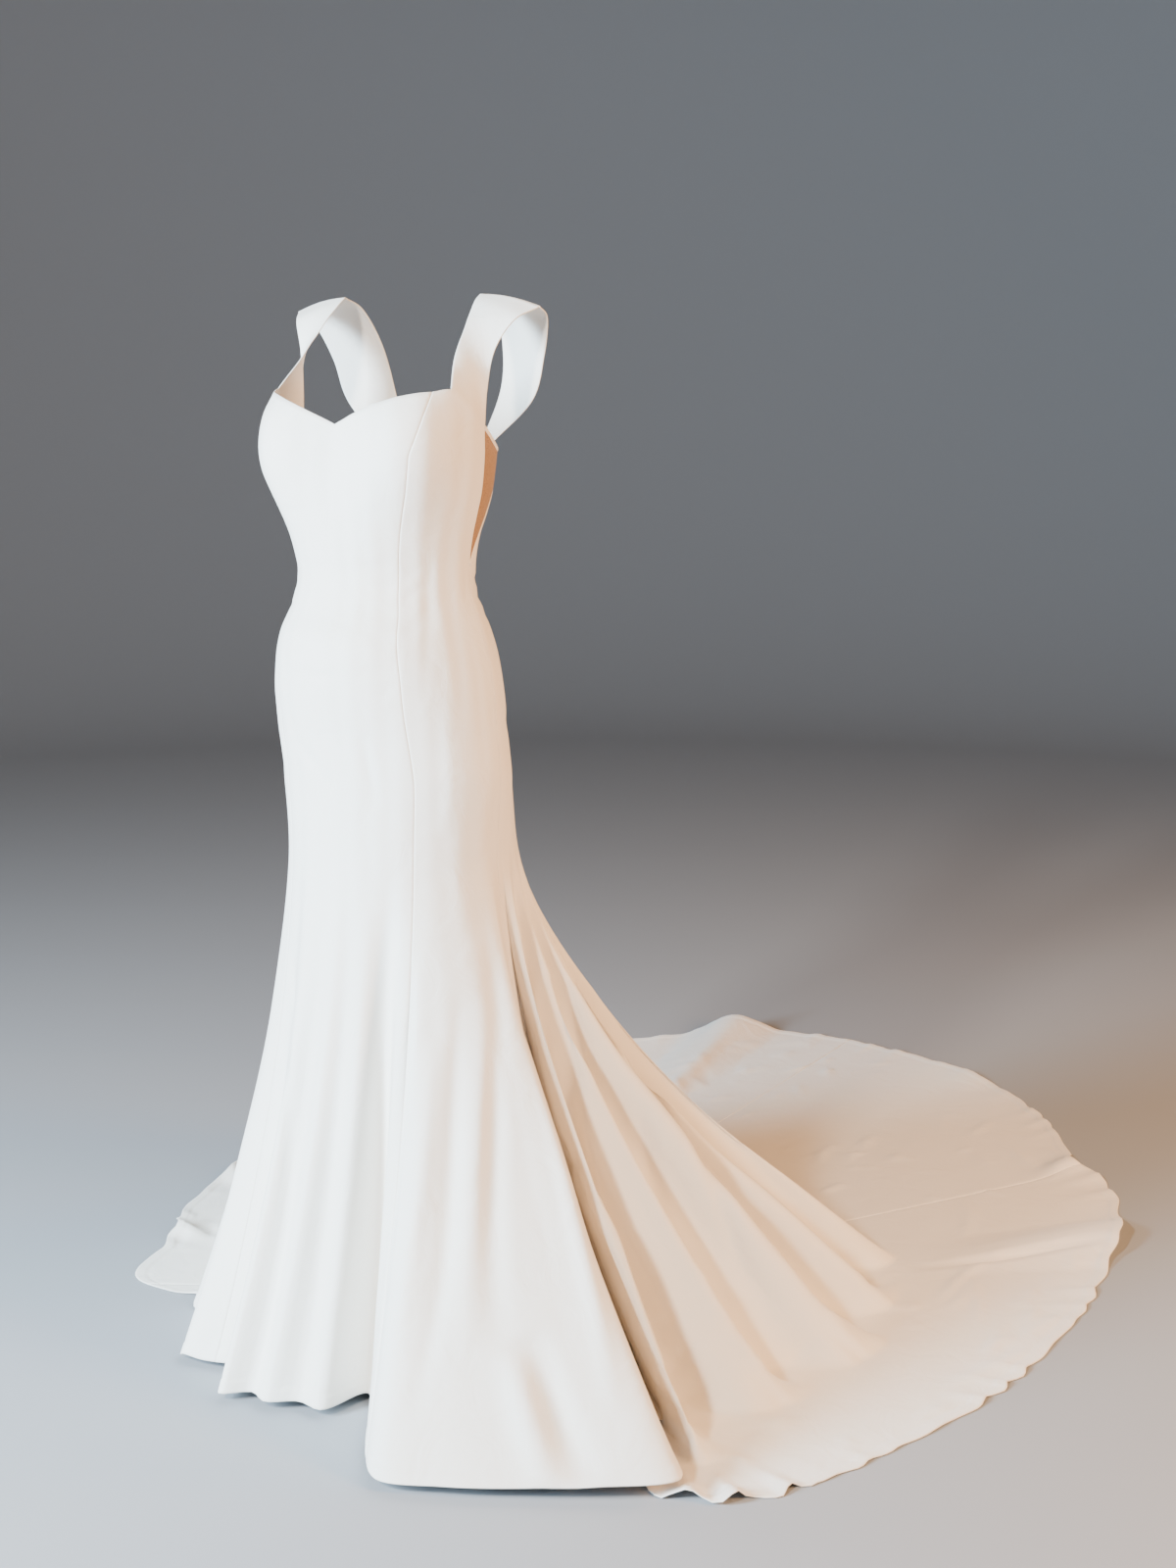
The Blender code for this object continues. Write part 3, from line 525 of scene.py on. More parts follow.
# girth and share of the way down of the start, the middle and the end, width, depth
SKIRT_CREASES = (
    (-0.98, 0.16, -0.3, 0.56, -0.2, 0.98, 0.009, -0.003),
    (-0.7, 0.3, -0.62, 0.6, -0.6, 0.96, 0.012, 0.003),
    (0.66, 0.08, 0.66, 0.54, 0.66, 1.0, 0.02, -0.007),
    (0.9, 0.26, 0.86, 0.53, 0.8, 0.96, 0.012, 0.004),
    (1.01, 0.16, 1.02, 0.5, 1.01, 0.97, 0.007, -0.0035),
    (1.2, 0.28, 1.17, 0.51, 1.12, 0.83, 0.018, 0.0056),
    (1.4, 0.2, 1.27, 0.57, 1.17, 0.92, 0.013, -0.005),
    (1.8, 0.13, 1.55, 0.48, 1.48, 0.78, 0.018, -0.0056),
    (1.68, 0.2, 1.43, 0.52, 1.34, 0.8, 0.02, 0.0063),
    (1.6, 0.76, 1.645, 0.88, 1.7, 1.0, 0.025, -0.0112),
    (1.53, 0.79, 1.55, 0.89, 1.58, 1.0, 0.025, 0.0098),
    (1.94, 0.3, 1.88, 0.55, 1.8, 0.9, 0.013, 0.007),
    (2.38, 0.16, 2.24, 0.44, 2.19, 0.8, 0.011, 0.0098),
    (2.44, 0.18, 2.33, 0.44, 2.26, 0.8, 0.02, -0.014),
    (2.58, 0.16, 2.52, 0.34, 2.47, 0.52, 0.011, -0.007),
    (2.58, 0.36, 2.49, 0.6, 2.46, 0.78, 0.016, -0.0084),
    (2.64, 0.4, 2.57, 0.58, 2.56, 0.7, 0.013, -0.0084),
    (2.68, 0.2, 2.6, 0.46, 2.6, 0.7, 0.029, 0.0112),
    (2.84, 0.2, 2.69, 0.48, 2.68, 0.75, 0.015, -0.0126),
    (2.8, 0.36, 2.76, 0.56, 2.75, 0.8, 0.02, 0.0098),
    (2.86, 0.3, 2.85, 0.56, 2.87, 0.7, 0.013, -0.014),
    (2.63, 0.7, 2.66, 0.76, 2.68, 0.84, 0.011, -0.0056),
    (2.58, 0.74, 2.59, 0.8, 2.6, 0.86, 0.01, -0.0042),
    (2.97, 0.44, 3.3, 0.64, 3.27, 0.76, 0.009, -0.0045),
    (2.98, 0.5, 3.15, 0.68, 3.25, 0.97, 0.009, -0.005),
    (2.96, 0.54, 3.02, 0.66, 3.05, 0.8, 0.01, -0.0045),
    (3.1, 0.3, 3.46, 0.52, 3.56, 0.7, 0.016, -0.005),
    (3.3, 0.3, 3.66, 0.56, 3.78, 0.8, 0.018, -0.005),
    (2.24, 0.12, 2.24, 0.5, 2.24, 0.92, 0.028, -0.011),
    (2.36, 0.1, 2.37, 0.5, 2.38, 0.9, 0.026, 0.011),
    (2.52, 0.12, 2.54, 0.48, 2.55, 0.86, 0.028, -0.012),
    (2.62, 0.14, 2.63, 0.5, 2.64, 0.84, 0.022, 0.009),
    (2.74, 0.16, 2.72, 0.44, 2.71, 0.8, 0.024, -0.011),
    (2.9, 0.2, 2.88, 0.5, 2.86, 0.7, 0.02, -0.009),
    (2.52, 0.86, 2.55, 0.92, 2.57, 0.99, 0.011, -0.0042),
    (2.4, 0.7, 2.42, 0.8, 2.44, 0.92, 0.013, -0.0042),
    (2.86, 0.72, 2.865, 0.85, 2.875, 0.99, 0.01, -0.0112),
    (-3.58, 0.6, -3.56, 0.8, -3.54, 0.99, 0.02, 0.006),
    (-3.4, 0.3, -3.46, 0.52, -3.46, 0.74, 0.022, -0.006),
    (-3.2, 0.26, -3.26, 0.48, -3.3, 0.8, 0.02, -0.005),
    (-3.02, 0.2, -2.96, 0.44, -2.94, 0.7, 0.016, -0.006),
    (-2.84, 0.16, -2.8, 0.42, -2.8, 0.66, 0.018, 0.007),
    (-2.7, 0.14, -2.66, 0.38, -2.68, 0.62, 0.014, -0.007),
    (-2.5, 0.16, -2.52, 0.4, -2.5, 0.7, 0.012, 0.005),
    (-2.36, 0.14, -2.36, 0.4, -2.34, 0.64, 0.015, -0.006),
    (-2.2, 0.18, -2.22, 0.44, -2.2, 0.76, 0.014, 0.006),
    (-2.02, 0.22, -2.0, 0.46, -2.02, 0.8, 0.01, -0.005),
    (-1.7, 0.14, -1.56, 0.5, -1.52, 0.9, 0.014, -0.005),
    (-1.4, 0.2, -1.3, 0.5, -1.32, 0.88, 0.012, 0.0045),
    (-2.32, 0.95, -2.21, 0.964, -2.12, 0.988, 0.009, -0.004),
)
CREASE_STEPS = 18
CREASE_BANKS = 0.5  # how far the cloth beside a crease goes the other way
CREASE_TAPER = 0.7  # how quickly a crease dies away at its ends
# the fine wrinkles of the cloth on the floor: lowest and highest girth, share where they begin, number
WRINKLES = (
    (2.15, 2.86, 0.62, 70),
    (2.95, 3.98, 0.42, 120),
    (-3.98, -2.95, 0.42, 110),
    (-2.90, -2.05, 0.60, 70),
)
WRINKLE_SEED = 7
WRINKLE_STEPS = 6
WRINKLE_END = 0.985  # share of the way down where the last of them lie
WRINKLE_LIMIT = 0.995  # share of the way down that none goes past
WRINKLE_CROWD = 0.8  # under 1, more of them near the hem
WRINKLE_ALONG = (0.015, 0.05)  # least and most share of the way down that one covers
WRINKLE_ACROSS = 0.06  # most girth from the middle to an end
WRINKLE_BOW = 0.05  # most girth drawn for its middle, of which BOW_SHARE is taken
BOW_SHARE = 0.3
WRINKLE_WIDTH = (0.008, 0.014)
WRINKLE_DEPTH = (0.0014, 0.0032)


def bend(start, middle, end, steps):
    """Numbers on the curve through three numbers, at steps from 0 to 1."""
    ends = start * (1 - steps) * (1 - 2 * steps) + 4 * middle * steps * (1 - steps)
    return ends + end * steps * (2 * steps - 1)


def on_skirt(girths, shares):
    """Points of the skirt, one for each girth number and share of the way down."""
    return np.array([SHAPE.points(girth, np.array([share]))[0] for girth, share in zip(girths, shares)])


def crease_paths():
    """Every crease as its points on the surface, its width and its depth."""
    paths = []
    steps = np.linspace(0, 1, CREASE_STEPS)
    for table, surface in ((BODY_CREASES, on_body), (SKIRT_CREASES, on_skirt)):
        for start, high, through, middle, end, low, width, depth in table:
            path = surface(bend(start, through, end, steps), bend(high, middle, low, steps))
            paths.append((path, width, depth))
    chance = np.random.RandomState(WRINKLE_SEED)
    steps = np.linspace(0, 1, WRINKLE_STEPS)
    for least, most, begin, number in WRINKLES:
        for _ in range(number):
            girth = chance.uniform(least, most)
            share = begin + (WRINKLE_END - begin) * chance.uniform() ** WRINKLE_CROWD
            along = chance.uniform(*WRINKLE_ALONG)
            across = chance.uniform(-WRINKLE_ACROSS, WRINKLE_ACROSS)
            bow = BOW_SHARE * chance.uniform(-WRINKLE_BOW, WRINKLE_BOW)
            shares = np.clip(share + along * (steps - 0.5), 0, WRINKLE_LIMIT)
            path = on_skirt(girth + bend(-across, bow, across, steps), shares)
            width = chance.uniform(*WRINKLE_WIDTH)
            paths.append((path, width, chance.choice((-1, 1)) * chance.uniform(*WRINKLE_DEPTH)))
    return paths


def crease_depth(points):
    """How far the creases move points out from the surface."""
    moved = np.zeros(len(points))
    for path, width, depth in CREASES:
        low, high = path.min(0) - 3 * width, path.max(0) + 3 * width
        near = np.nonzero(np.all((points > low) & (points < high), axis=1))[0]
        if not len(near):
            continue
        best = np.full(len(near), np.inf)
        along = np.zeros(len(near))
        for index, (start, end) in enumerate(zip(path, path[1:])):
            way = end - start
            part = np.clip((points[near] - start) @ way / (way @ way), 0, 1)
            gap = np.linalg.norm(points[near] - start - part[:, None] * way, axis=1)
            closer = gap < best
            best[closer] = gap[closer]
            along[closer] = (index + part[closer]) / (len(path) - 1)
        across = (best / width) ** 2
        fade = np.sin(np.pi * np.clip(along, 0.0, 1.0)) ** CREASE_TAPER
        moved[near] += depth * fade * (1 - CREASE_BANKS * across) * np.exp(-across)
    return moved


def ripple(points):
    """The slight unevenness of worn cloth, in long soft vertical drags."""
    x, y, z = points.T
    turn = np.arctan2(x, -y)
    drag = np.sin(7 * turn + 3.1 * z + 0.4) * np.sin(19 * turn - 2.0 * z + 1.7)
    soft = np.sin(11.3 * x + 5.1 * z) * np.sin(9.7 * y - 7.3 * z + 0.8)
    return RIPPLE_HEIGHTS[0] * drag + RIPPLE_HEIGHTS[1] * soft


# ---- the run of the hem ----
# lowest and highest girth, length of a wave, how far it goes in and out, how far it lifts, how high up
HEM_WAVES = (
    (-4.0, -2.0, 0.083, 0.004, 0.004, 0.06),
    (-1.9, -1.05, 0.06, 0.006, 0.0, 0.1),
    (2.02, 2.32, 0.052, 0.009, 0.01, 0.05),
    (2.32, 4.0, 0.078, 0.0045, 0.004, 0.06),
)
# girth, half length along the hem, how far the hem turns in, how far it lifts, how far up it reaches
HEM_CURLS = (
    (3.02, 0.035, 0.022, 0.02, 0.07),
    (2.99, 0.022, -0.008, 0.006, 0.05),
    (2.135, 0.02, 0.01, 0.016, 0.05),
    (2.2, 0.016, -0.006, 0.01, 0.04),
    (-2.42, 0.04, 0.012, 0.014, 0.06),
    (-2.62, 0.035, -0.008, 0.01, 0.06),
    (-2.22, 0.03, 0.01, 0.014, 0.06),
    (-3.54, 0.06, 0.004, 0.014, 0.1),
    (3.55, 0.05, 0.006, 0.008, 0.06),
    (-3.1, 0.045, 0.01, 0.012, 0.06),
)
INWARD_ROW = 10  # the row that shows which way is inward from the hem
WAVE_ENDS = 0.06  # a stretch of waves fades out over this length
WAVE_DRIFT = (1.6, 3.7)  # how far their step drifts, and over how many wave lengths
WAVE_SWELL = (0.4, 5.3, 0.7)  # how much their size changes, over how many, and its start
WAVE_LIFT = (0.9, 1.5)  # how far the lift runs ahead of the wave, and how sharp it is


def hem_run(girths, grid):
    """Wave and curl the lower edge of a panel's grid, columns first, hem at row 0."""
    place = SHAPE.place(np.array([wrapped(girth) for girth in girths]))
    gap = np.linalg.norm(np.diff(grid, axis=1), axis=-1)
    way = np.concatenate((np.zeros((len(grid), 1)), np.cumsum(np.nan_to_num(gap), axis=1)), axis=1)
    inward = unit(grid[:, INWARD_ROW] - grid[:, 0])[:, None]
    drift, drift_run = WAVE_DRIFT
    swell, swell_run, swell_start = WAVE_SWELL
    lead, sharpness = WAVE_LIFT
    for low, high, length, out, lift, reach in HEM_WAVES:
        start, end = SHAPE.place(low), SHAPE.place(high)
        within = np.clip(np.minimum(place - start, end - place) / WAVE_ENDS, 0, 1)
        turn = 2 * np.pi * place / length + drift * np.sin(2 * np.pi * place / (drift_run * length))
        size = within * (1 - swell + swell * np.sin(2 * np.pi * place / (swell_run * length) + swell_start))
        fade = np.exp(-((way / reach) ** 2))
        grid = grid + (size * out * np.sin(turn))[:, None, None] * fade[..., None] * inward
        grid[..., 2] += (size * lift * np.clip(np.sin(turn + lead), 0, 1) ** sharpness)[:, None] * fade
    for girth, half, tuck, lift, reach in HEM_CURLS:
        near = np.exp(-(((place - SHAPE.place(girth)) / half) ** 2))[:, None] * np.exp(-((way / reach) ** 2))
        grid = grid + tuck * near[..., None] * inward
        grid[..., 2] += lift * near
    return grid


# ---- meshes ----
def grid_normals(grid):
    """Outward normals of a grid of points, columns first, whose missing points are nan."""
    ways = []
    for axis in (0, 1):
        ahead = np.roll(grid, -1, axis)
        behind = np.roll(grid, 1, axis)
        np.moveaxis(ahead, axis, 0)[-1] = np.nan
        np.moveaxis(behind, axis, 0)[0] = np.nan
        ways.append(np.where(np.isnan(ahead), grid, ahead) - np.where(np.isnan(behind), grid, behind))
    return unit(np.cross(*ways))


def shell(name, grid, normals, thickness, material):
    """A closed cloth wall round a grid of points, half its thickness to each side."""
    real = ~np.isnan(grid[..., 0])
    number = np.full(real.shape, -1)
    number[real] = np.arange(real.sum())
    count = int(real.sum())
    middle = grid[real]
    out = normals[real] * thickness / 2
    corners = np.stack((number[:-1, :-1], number[1:, :-1], number[1:, 1:], number[:-1, 1:]), -1)
    corners = corners.reshape(-1, 4)
    corners = corners[(corners >= 0).all(1)]
    starts = corners.ravel()
    ends = np.roll(corners, -1, axis=1).ravel()
    used = set(zip(starts.tolist(), ends.tolist()))
    rim = [(start, end) for start, end in used if (end, start) not in used]
    rim_points = sorted({point for edge in rim for point in edge})
    outward = rim_directions(middle, corners, rim)
    turned = {point: 2 * count + index for index, point in enumerate(rim_points)}
    rounded = np.array([middle[point] + outward[point] * thickness * RIM_SWELL for point in rim_points])
    faces = corners.tolist()
    faces += (corners[:, ::-1] + count).tolist()
    for start, end in sorted(rim):
        faces.append((end, start, turned[start], turned[end]))
        faces.append((turned[end], turned[start], start + count, end + count))
    return add_mesh(name, np.vstack((middle + out, middle - out, rounded)), faces, material)


def rim_directions(points, corners, rim):
    """For every point on the rim, the direction away from the cloth."""
    centre = {}
    for face in corners.tolist():
        middle = points[face].mean(0)
        for start, end in zip(face, face[1:] + face[:1]):
            centre[start, end] = middle
    away = {}
    for start, end in rim:
        edge = unit(points[end] - points[start])
        out = (points[start] + points[end]) / 2 - centre[start, end]
        out = out - edge * (out @ edge)
        for point in (start, end):
            away[point] = away.get(point, 0) + unit(out)
    return {point: unit(out) for point, out in away.items()}


def tube_faces(rings, sides, order=(0, 1, 2, 3)):
    """Faces between rings of points numbered ring by ring; order says how each takes its corners."""
    faces = []
    for first in range(0, (rings - 1) * sides, sides):
        for turn in range(sides):
            after = (turn + 1) % sides
            corners = (first + turn, first + after, first + sides + after, first + sides + turn)
            faces.append(tuple(corners[place] for place in order))
    return faces


def spun(profile, turns):
    """Rings of points round the upright axis, one for each size and height of a profile."""
    return [(size * math.cos(turn), size * math.sin(turn), height)
            for size, height in profile for turn in turns]


def add_object(name, data):
    """A new object in the scene."""
    thing = bpy.data.objects.new(name, data)
    bpy.context.scene.collection.objects.link(thing)
    return thing


def add_mesh(name, vertices, faces, material):
    """A named, smoothly shaded piece in the finished frame, riding on the dress."""
    mesh = bpy.data.meshes.new(name)
    mesh.from_pydata((np.asarray(vertices) - SHOULDER).tolist(), [], faces)
    mesh.materials.append(material)
    mesh.shade_smooth()
    piece = add_object(name, mesh)
    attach(piece, "root")
    return piece


def marks(side, *sizes):
    """Girth numbers on one side of the dress, from least to most."""
    return sorted(side * size for size in sizes)


def panel_girths(bounds):
    """Girth numbers of a panel's columns between its bounds, about COLUMN_STEP apart along the hem."""
    girths = []
    for low, high in zip(bounds, bounds[1:]):
        length = abs(SHAPE.place(high) - SHAPE.place(low))
        least = LEAST_COLUMNS if high - low > SHORT_STRETCH else SHORT_COLUMNS
        steps = max(least, round(length / COLUMN_STEP))
        places = np.linspace(SHAPE.place(low), SHAPE.place(high), steps, endpoint=False)
        girths += list(np.interp(places, SHAPE.along, SHAPE.girths))
    return girths + [bounds[-1]]


def stack(columns):
    """Columns of unlike length as one grid, with nan where a column has ended."""
    rows = max(len(points) for points in columns)
    grid = np.full((len(columns), rows, 3), np.nan)
    for index, points in enumerate(columns):
        grid[index, :len(points)] = points
    return grid


def panel(node, bounds, make_column, material, extra=None):
    """A fine panel of the dress: its columns, creased, grooved along its seams and turned up at its hem."""
    girths = panel_girths(bounds)
    past = 0.01
    wide = [girths[0] - past] + list(girths) + [girths[-1] + past]
    columns = [make_column(girth) for girth in wide]
    if extra:
        columns = extra(wide, columns)
    grid = hem_run(wide, stack(columns))
    normals = grid_normals(grid)[1:-1]
    grid = grid[1:-1]
    grid, normals = add_grooves(grid, normals)
    real = ~np.isnan(grid[..., 0])
    points = grid[real]
    out = crease_depth(points) + ripple(points) * np.clip((points[:, 2] - RIPPLE_START) / RIPPLE_FADE, 0, 1)
    grid[real] = points + normals[real] * out[:, None]
    grid[..., 2] = np.where(real, np.maximum(grid[..., 2], FLOOR_CLEAR), np.nan)
    hem = np.zeros(grid.shape[1])
    hem[:HEM_ROWS] = HEM_BULGE
    hem[HEM_ROWS] = -HEM_STITCH
    grid += normals * hem[None, :, None]
    grid[[0, -1]] -= normals[[0, -1]] * SEAM_GROOVE
    piece = shell(f"{node}_cloth", grid, normals, CREPE, material)
    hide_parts(node)
    return piece


def add_grooves(grid, normals):
    """Draw the outer columns in by half a seam gap, and put a column close beside each."""
    for edge, inner, place in ((0, 1, 1), (-1, -2, -1)):
        way = grid[inner] - grid[edge]
        length = np.linalg.norm(way, axis=-1, keepdims=True)
        length = np.where(np.isnan(length), 1.0, np.maximum(length, NEAR))
        close = grid[edge] + way / length * np.minimum(GROOVE_WIDTH, GROOVE_SHARE * length)
        close = np.where(np.isnan(close), grid[edge], close)
        grid[edge] += np.nan_to_num(way / length) * SEAM_GAP / 2
        grid = np.insert(grid, place, close, axis=0)
        normals = np.insert(normals, place, normals[edge], axis=0)
    return grid, normals


def with_front_strap(side):
    """Runs the columns behind the neckline corner on up the strap."""
    def extend(girths, columns):
        sizes = [abs(girth) for girth in girths]
        top = [index for index, size in enumerate(sizes) if size >= STRAP_START - NEAR]
        top.sort(key=lambda index: sizes[index])
        inner = top[0]
        outer = [index for index in top if sizes[index] <= 2.0 + NEAR][-1]
        edges = strap_edges(columns[inner][-1], columns[outer][-1], FRONT_STRAP + (SHOULDER_SEAM,), side)
        for index in top:
            share = (sizes[index] - sizes[inner]) / (sizes[outer] - sizes[inner])
            share = min(share, STRAP_PAST)
            columns[index] = np.vstack((columns[index], strap_column(edges, share, columns[index][-1])[1:]))
        return columns
    return extend


def back_strap(node, side, material):
    """A back strap, from the back of the bodice up to the shoulder seam."""
    shares = np.linspace(0, 1, STRAP_COLUMNS)
    feet = [side_back_column(side * (3.0 - share))[-1] for share in shares]
    edges = strap_edges(feet[0], feet[-1], tuple(reversed(BACK_STRAP)) + (SHOULDER_SEAM,), side)
    columns = [strap_column(edges, share, foot) for share, foot in zip(shares, feet)]
    for points in columns:
        points[0] += unit(points[1] - points[0]) * SEAM_GAP
        points[-1] += unit(points[-2] - points[-1]) * SEAM_GAP
    grid = stack(columns if side < 0 else columns[::-1])
    piece = shell(f"{node}_cloth", grid, grid_normals(grid), CREPE, material)
    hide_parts(node)
    return piece


def sheer_panel(node, side, material):
    """A sheer wedge under the arm."""
    ups = np.linspace(SHEER_TIP, 1, SHEER_ROWS)
    acrosses = np.linspace(0, 1, SHEER_COLUMNS)
    columns = [sheer_point(side, ups, across) for across in (acrosses if side > 0 else acrosses[::-1])]
    grid = stack(columns)
    normals = grid_normals(grid)
    for edge, inner in ((0, 1), (-1, -2)):
        grid[edge] += unit(grid[inner] - grid[edge]) * SEAM_GAP
    piece = shell(f"{node}_net", grid, normals, NET, material)
    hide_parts(node)
    return piece


def squared(value):
    """A sine or cosine drawn towards 1 and -1, which turns a round section into a rounded square."""
    return math.copysign(abs(value) ** BINDING_ROUND, value)


def binding(name, path, normals, width, rise, material):
    """A narrow folded binding laid over an edge of the cloth."""
    along = unit(np.gradient(path, axis=0))
    across = unit(np.cross(along, normals))
    normals = unit(np.cross(across, along))
    rings = [
        path + across * squared(math.cos(turn)) * width / 2 + normals * squared(math.sin(turn)) * rise / 2
        for turn in np.linspace(0, 2 * np.pi, BINDING_SIDES, endpoint=False)
    ]
    vertices = np.array(rings).transpose(1, 0, 2).reshape(-1, 3)
    faces = tube_faces(len(path), BINDING_SIDES)
    faces.append(tuple(range(BINDING_SIDES))[::-1])
    faces.append(tuple(range(len(vertices) - BINDING_SIDES, len(vertices))))
    return add_mesh(name, vertices, faces, material)


def sheer_bindings(node, side, fabric):
    """The narrow bindings of a sheer wedge, along the armhole and down its back edge."""
    steps = np.linspace(0, 1, BINDING_ROWS)
    bindings = []
    for edge, up, across in (("armhole", np.ones(BINDING_ROWS), steps), ("back", steps, 1.0)):
        path = sheer_point(side, up, across)
        outward = unit(path * np.array((1.0, 1.0, 0.0)))
        bindings.append(binding(f"{node}_{edge}_binding", path, outward, BINDING_WIDTH, BINDING_RISE, fabric))
    return bindings


# ---- materials ----
def new_material(name, **inputs):
    """A material with nodes, and its shader with the values of its inputs."""
    material = bpy.data.materials.new(name)
    material.use_nodes = True
    shader = material.node_tree.nodes["Principled BSDF"]
    set_inputs(shader, **inputs)
    return material, shader


def add_node(material, kind, **inputs):
    """A new shader node of a material, with the values of its inputs."""
    node = material.node_tree.nodes.new(f"ShaderNode{kind}")
    set_inputs(node, **inputs)
    return node


def set_inputs(node, **inputs):
    """Give a shader node's inputs their values; an underscore stands for a space in a name."""
    for name, value in inputs.items():
        node.inputs[name.replace("_", " ")].default_value = value


def join(start, output, end, entry):
    """Link an output of one shader node to an input of another."""
    end.id_data.links.new(start.outputs[output], end.inputs[entry])


def crepe(name, colour, shade):
    """Matte crepe: a fine pebbled weave, a little uneven in tone and crumpled, with a soft sheen."""
    material, shader = new_material(
        name, Roughness=0.62, Sheen_Weight=0.25, Sheen_Roughness=0.45, Specular_IOR_Level=0.35
    )
    place = add_node(material, "TexCoord")
    tone = add_node(material, "TexNoise", Scale=9.0, Detail=3.0)
    mix = add_node(material, "Mix")
    mix.data_type = "RGBA"
    set_inputs(mix, A=(*colour, 1.0), B=(*shade, 1.0))
    join(tone, "Fac", mix, "Factor")
    join(mix, "Result", shader, "Base Color")
    pebble = add_node(material, "TexVoronoi", Scale=1400.0)
    weave = add_node(material, "TexNoise", Scale=420.0, Detail=4.0)
    height = add_node(material, "Math")
    height.operation = "ADD"
    join(pebble, "Distance", height, 0)
    join(weave, "Fac", height, 1)
    bump = add_node(material, "Bump", Strength=0.18, Distance=0.0004)
    join(height, "Value", bump, "Height")
    crumple = add_node(material, "TexNoise", Scale=17.0, Detail=3.0, Distortion=1.3)
    drawn = add_node(material, "Bump", Strength=0.4, Distance=0.004)
    join(crumple, "Fac", drawn, "Height")
    join(bump, "Normal", drawn, "Normal")
    join(drawn, "Normal", shader, "Normal")
    for texture in (tone, pebble, weave, crumple):
        join(place, "Object", texture, "Vector")
    return material


def net(name, colour):
    """Fine nude mesh, close enough to hide most of what is behind it."""
    material, shader = new_material(name, Base_Color=(*colour, 1.0), Roughness=0.75, Sheen_Weight=0.2)
    place = add_node(material, "TexCoord")
    holes = add_node(material, "TexVoronoi", Scale=700.0)
    cut = add_node(material, "MapRange", From_Min=0.25, From_Max=0.45, To_Min=0.55, To_Max=1.0)
    join(place, "Object", holes, "Vector")
    join(holes, "Distance", cut, "Value")
    join(cut, "Result", shader, "Alpha")
    return material


def satin(name, colour):
    """Smooth satin for the bindings, buttons and loops."""
    material, shader = new_material(name, Base_Color=(*colour, 1.0), Roughness=0.42, Sheen_Weight=0.3)
    place = add_node(material, "TexCoord")
    thread = add_node(material, "TexNoise", Scale=900.0)
    bump = add_node(material, "Bump", Strength=0.12, Distance=0.0003)
    join(place, "Object", thread, "Vector")
    join(thread, "Fac", bump, "Height")
    join(bump, "Normal", shader, "Normal")
    return material


# ---- the closing row: tape, covered buttons and loops ----
BUTTON_PITCH = 0.035
BUTTON_SIZE = 0.011
BUTTON_RISE = 0.0052
TAPE_WIDTH = 0.012
TAPE_RISE = 0.0010
BESIDE_TAPE = 3.99  # a girth number just beside the centre back
LOOP_THREAD = 0.0016
LOOP_SHARE = 0.42  # radius that a loop is measured by, of the button's width
LOOP_TURN = 0.75 * math.pi  # how far round the stem it goes, to each side
LOOP_SPREAD = 1.15  # radius of its turn round the stem, of that radius
LOOP_ENDS = (-2.3, 0.28)  # where its ends lie across and along, of that radius
LOOP_LIFT = 0.55  # height of its middle, of its thickness
# the stem and underside of a button: share of its radius and of its rise
BUTTON_FOOT = ((0.62, 0.0), (0.80, 0.14), (1.0, 0.30))
DOME_START = 0.15  # angle from level at which the dome begins
DOME_SHARES = (0.34, 0.66)  # height of its centre and its own height, of the rise


def closing_row(fabric):
    """The tape down the centre back, its covered buttons and the loops round their stems."""
    middle = back_column(4.0)[::-1]
    beside = back_column(BESIDE_TAPE)[::-1]
    across = unit(beside - middle)
    along = unit(np.gradient(middle, axis=0))
    out = unit(np.cross(along, across))
    path = middle + out * (CREPE / 2 + TAPE_RISE / 2)
    tape = binding("closing_tape", path, out, TAPE_WIDTH, TAPE_RISE, fabric)
    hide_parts("back_buttons")
    way = way_along(middle)
    spots = np.arange(BUTTON_PITCH / 2, way[-1], BUTTON_PITCH)
    places, sides, ups = [read_along(values, way, spots) for values in (middle, across, out)]
    made = [tape]
    for name, (points, polygons) in (
        ("covered_buttons", dome_shape(BUTTON_SIZE / 2, BUTTON_RISE)),
        ("button_loops", loop_shape(BUTTON_SIZE * LOOP_SHARE, LOOP_THREAD)),
    ):
        vertices, faces = [], []
        for place, side, up in zip(places, unit(sides), unit(ups)):
            faces += [tuple(corner + len(vertices) for corner in face) for face in polygons]
            turn = np.stack((side, np.cross(up, side), up))
            vertices += list(place + up * (CREPE / 2 + TAPE_RISE) + points @ turn)
        made.append(add_mesh(name, vertices, faces, fabric))
    return made


def dome_shape(radius, rise, rings=6, sides=16):
    """A covered button: a low dome on a short stem, closed underneath."""
    turns = np.linspace(0, 2 * np.pi, sides, endpoint=False)
    profile = [(across * radius, up * rise) for across, up in BUTTON_FOOT]
    centre, height = DOME_SHARES
    profile += [(radius * math.cos(lift), rise * (centre + height * math.sin(lift)))
                for lift in np.linspace(DOME_START, math.pi / 2, rings, endpoint=False)]
    vertices = spun(profile, turns) + [(0.0, 0.0, rise)]
    faces = [tuple(range(sides))[::-1]] + tube_faces(len(profile), sides)
    last = (len(profile) - 1) * sides
    faces += [(last + turn, last + (turn + 1) % sides, len(vertices) - 1) for turn in range(sides)]
    return np.array(vertices), faces


